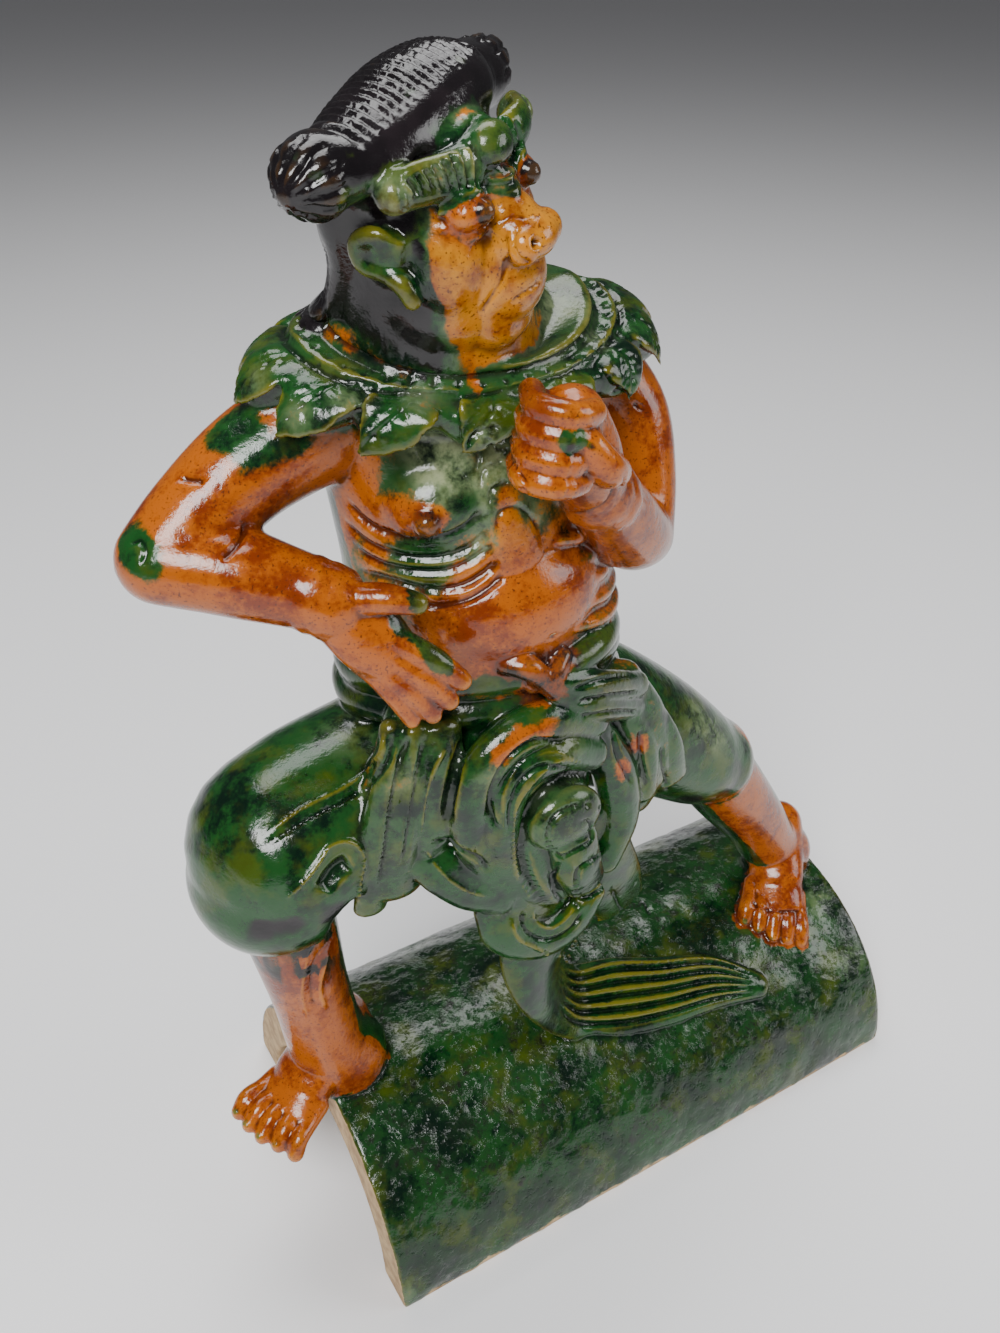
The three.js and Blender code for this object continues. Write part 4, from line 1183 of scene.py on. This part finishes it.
def stepped(value, low, high):
    """A soft mask that is 0 at low and 1 at high."""
    reach = node("ShaderNodeMapRange", interpolation_type="SMOOTHSTEP")
    wires.new(value, reach.inputs["Value"])
    reach.inputs["From Min"].default_value = low
    reach.inputs["From Max"].default_value = high
    return reach.outputs[0]


def cloud(scale, detail=4, roughness=0.6):
    """Uneven glaze: noise on the piece's own coordinates."""
    texture = node("ShaderNodeTexNoise", Scale=scale, Detail=detail, Roughness=roughness)
    wires.new(where.outputs["Object"], texture.inputs["Vector"])
    return texture.outputs["Fac"]


where = node("ShaderNodeTexCoord")
coat_in = node("ShaderNodeAttribute", attribute_name="coat")
parts = node("ShaderNodeSeparateColor")
wires.new(coat_in.outputs["Color"], parts.inputs[0])
relief_in = node("ShaderNodeAttribute", attribute_name="relief").outputs["Fac"]
pitted = node("ShaderNodeAttribute", attribute_name="pitted").outputs["Fac"]
broad = cloud(35)
middling = cloud(130)
fine = cloud(700, 3)
ragged = maths("SUBTRACT", maths("MULTIPLY_ADD", middling, 0.8, maths("MULTIPLY", fine, 0.4)), 0.6)
is_amber = stepped(maths("ADD", parts.outputs[0], ragged), 0.3, 0.62)
is_dark = stepped(maths("ADD", parts.outputs[1], ragged), 0.3, 0.7)
is_pale = maths("MULTIPLY", parts.outputs[2], stepped(maths("ADD", broad, ragged), 0.2, 0.6))
is_pale = maths("MULTIPLY", is_pale, maths("SUBTRACT", 1.0, is_amber))
is_bare = stepped(maths("ADD", coat_in.outputs["Alpha"], ragged), 0.35, 0.6)
ridge = stepped(maths("ADD", relief_in, maths("MULTIPLY", ragged, 0.25)), 0.66, 1.0)
hollow = stepped(maths("ADD", relief_in, maths("MULTIPLY", ragged, 0.2)), 0.45, 0.12)

# Each glaze pools dark, thins to yellow on ridges, and meets the next along a ragged edge
green = mixed(stepped(maths("ADD", broad, ragged), 0.3, 0.62), srgb(4, 24, 13), srgb(20, 66, 24))
green = mixed(maths("MULTIPLY", stepped(cloud(55), 0.48, 0.66), 0.75), green, srgb(62, 76, 16))
green = mixed(maths("MULTIPLY", ridge, 0.7), green, srgb(112, 104, 24))
green = mixed(maths("MULTIPLY", hollow, 0.8), green, srgb(3, 14, 9))
amber = mixed(stepped(maths("ADD", broad, ragged), 0.32, 0.62), srgb(112, 42, 5), srgb(160, 80, 9))
honey = maths("MULTIPLY", parts.outputs[2], stepped(middling, 0.25, 0.6))
amber = mixed(honey, amber, srgb(190, 128, 22))
amber = mixed(maths("MULTIPLY", ridge, 0.7), amber, srgb(186, 114, 22))
amber = mixed(maths("MULTIPLY", hollow, 0.85), amber, srgb(58, 16, 5))
specks = stepped(cloud(1100, 2, 0.5), 0.6, 0.68)
amber = mixed(maths("MULTIPLY", specks, 0.8), amber, srgb(74, 34, 16))
dark = mixed(stepped(broad, 0.4, 0.7), srgb(16, 13, 15), srgb(30, 24, 27))
dark = mixed(maths("MULTIPLY", ridge, 0.35), dark, srgb(88, 62, 30))
# Pale grey-green: the knots' patina and other pale glaze, and also the painted highlights of the pale daubs
pale = mixed(stepped(middling, 0.35, 0.7), srgb(104, 120, 84), srgb(150, 158, 118))
colour = mixed(is_amber, green, amber)
colour = mixed(is_pale, colour, pale)
colour = mixed(is_dark, colour, dark)
buff = mixed(stepped(middling, 0.3, 0.7), srgb(150, 120, 84), srgb(196, 168, 126))
colour = mixed(is_bare, colour, buff)
wires.new(colour, bsdf.inputs["Base Color"])

# The glaze is glossy and lies a little unevenly; it is pitted on the tile, and bare clay is dull
gloss = maths("MULTIPLY_ADD", middling, 0.22, 0.05)
wires.new(maths("MAXIMUM", gloss, maths("MULTIPLY", is_bare, 0.75)), bsdf.inputs["Roughness"])
pits = maths("MULTIPLY", maths("MULTIPLY", stepped(cloud(300, 4, 0.65), 0.5, 0.8), pitted), -0.5)
height = maths("ADD", maths("MULTIPLY_ADD", fine, 0.14, maths("MULTIPLY", middling, 0.5)), pits)
bump = node("ShaderNodeBump", Strength=0.45, Distance=0.0014)
wires.new(height, bump.inputs["Height"])
wires.new(bump.outputs[0], bsdf.inputs["Normal"])
final.materials.clear()
final.materials.append(glaze)
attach(guardian, "root")
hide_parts("ridge_guardian")

# Floor
# A wide sheet of pale paper lies under the ornament. It isn't part of it.
FLOOR_SIZE = 40
PAPER_WHITE = (0.86, 0.86, 0.87, 1)
bpy.ops.mesh.primitive_plane_add(size=1)
floor = bpy.context.object
floor.name = "floor"
floor.data.transform(Matrix.Scale(FLOOR_SIZE, 4))
paper = bpy.data.materials.new("paper")
paper.use_nodes = True
paper.node_tree.nodes["Principled BSDF"].inputs["Base Color"].default_value = PAPER_WHITE
floor.data.materials.append(paper)

# Lights
# Three soft white boxes stand round the ornament, in a dim grey studio.
STUDIO_GREY = (0.5, 0.5, 0.52, 1)
STUDIO_LIGHT = 0.2


def softbox(name, place, target, size, power):
    """A soft light at a place, turned to its target; its size is in metres and its power in watts."""
    light = bpy.data.lights.new(name, "AREA")
    light.shape = "RECTANGLE"
    light.size, light.size_y = size
    light.energy = power
    lamp = bpy.data.objects.new(name, light)
    bpy.context.scene.collection.objects.link(lamp)
    lamp.location = place
    lamp.rotation_euler = (Vector(target) - Vector(place)).to_track_quat("-Z", "Y").to_euler()


softbox("key", (-0.9, -0.9, 1.5), (0, 0, 0.25), (0.8, 0.8), 44)
softbox("fill", (1.2, -0.8, 0.9), (0, 0, 0.25), (0.8, 0.8), 10)
softbox("top", (0.1, 0.5, 1.6), (0, 0, 0.2), (1.2, 0.8), 18)
world = bpy.data.worlds.new("studio")
world.use_nodes = True
background = world.node_tree.nodes["Background"]
background.inputs["Color"].default_value = STUDIO_GREY
background.inputs["Strength"].default_value = STUDIO_LIGHT
bpy.context.scene.world = world
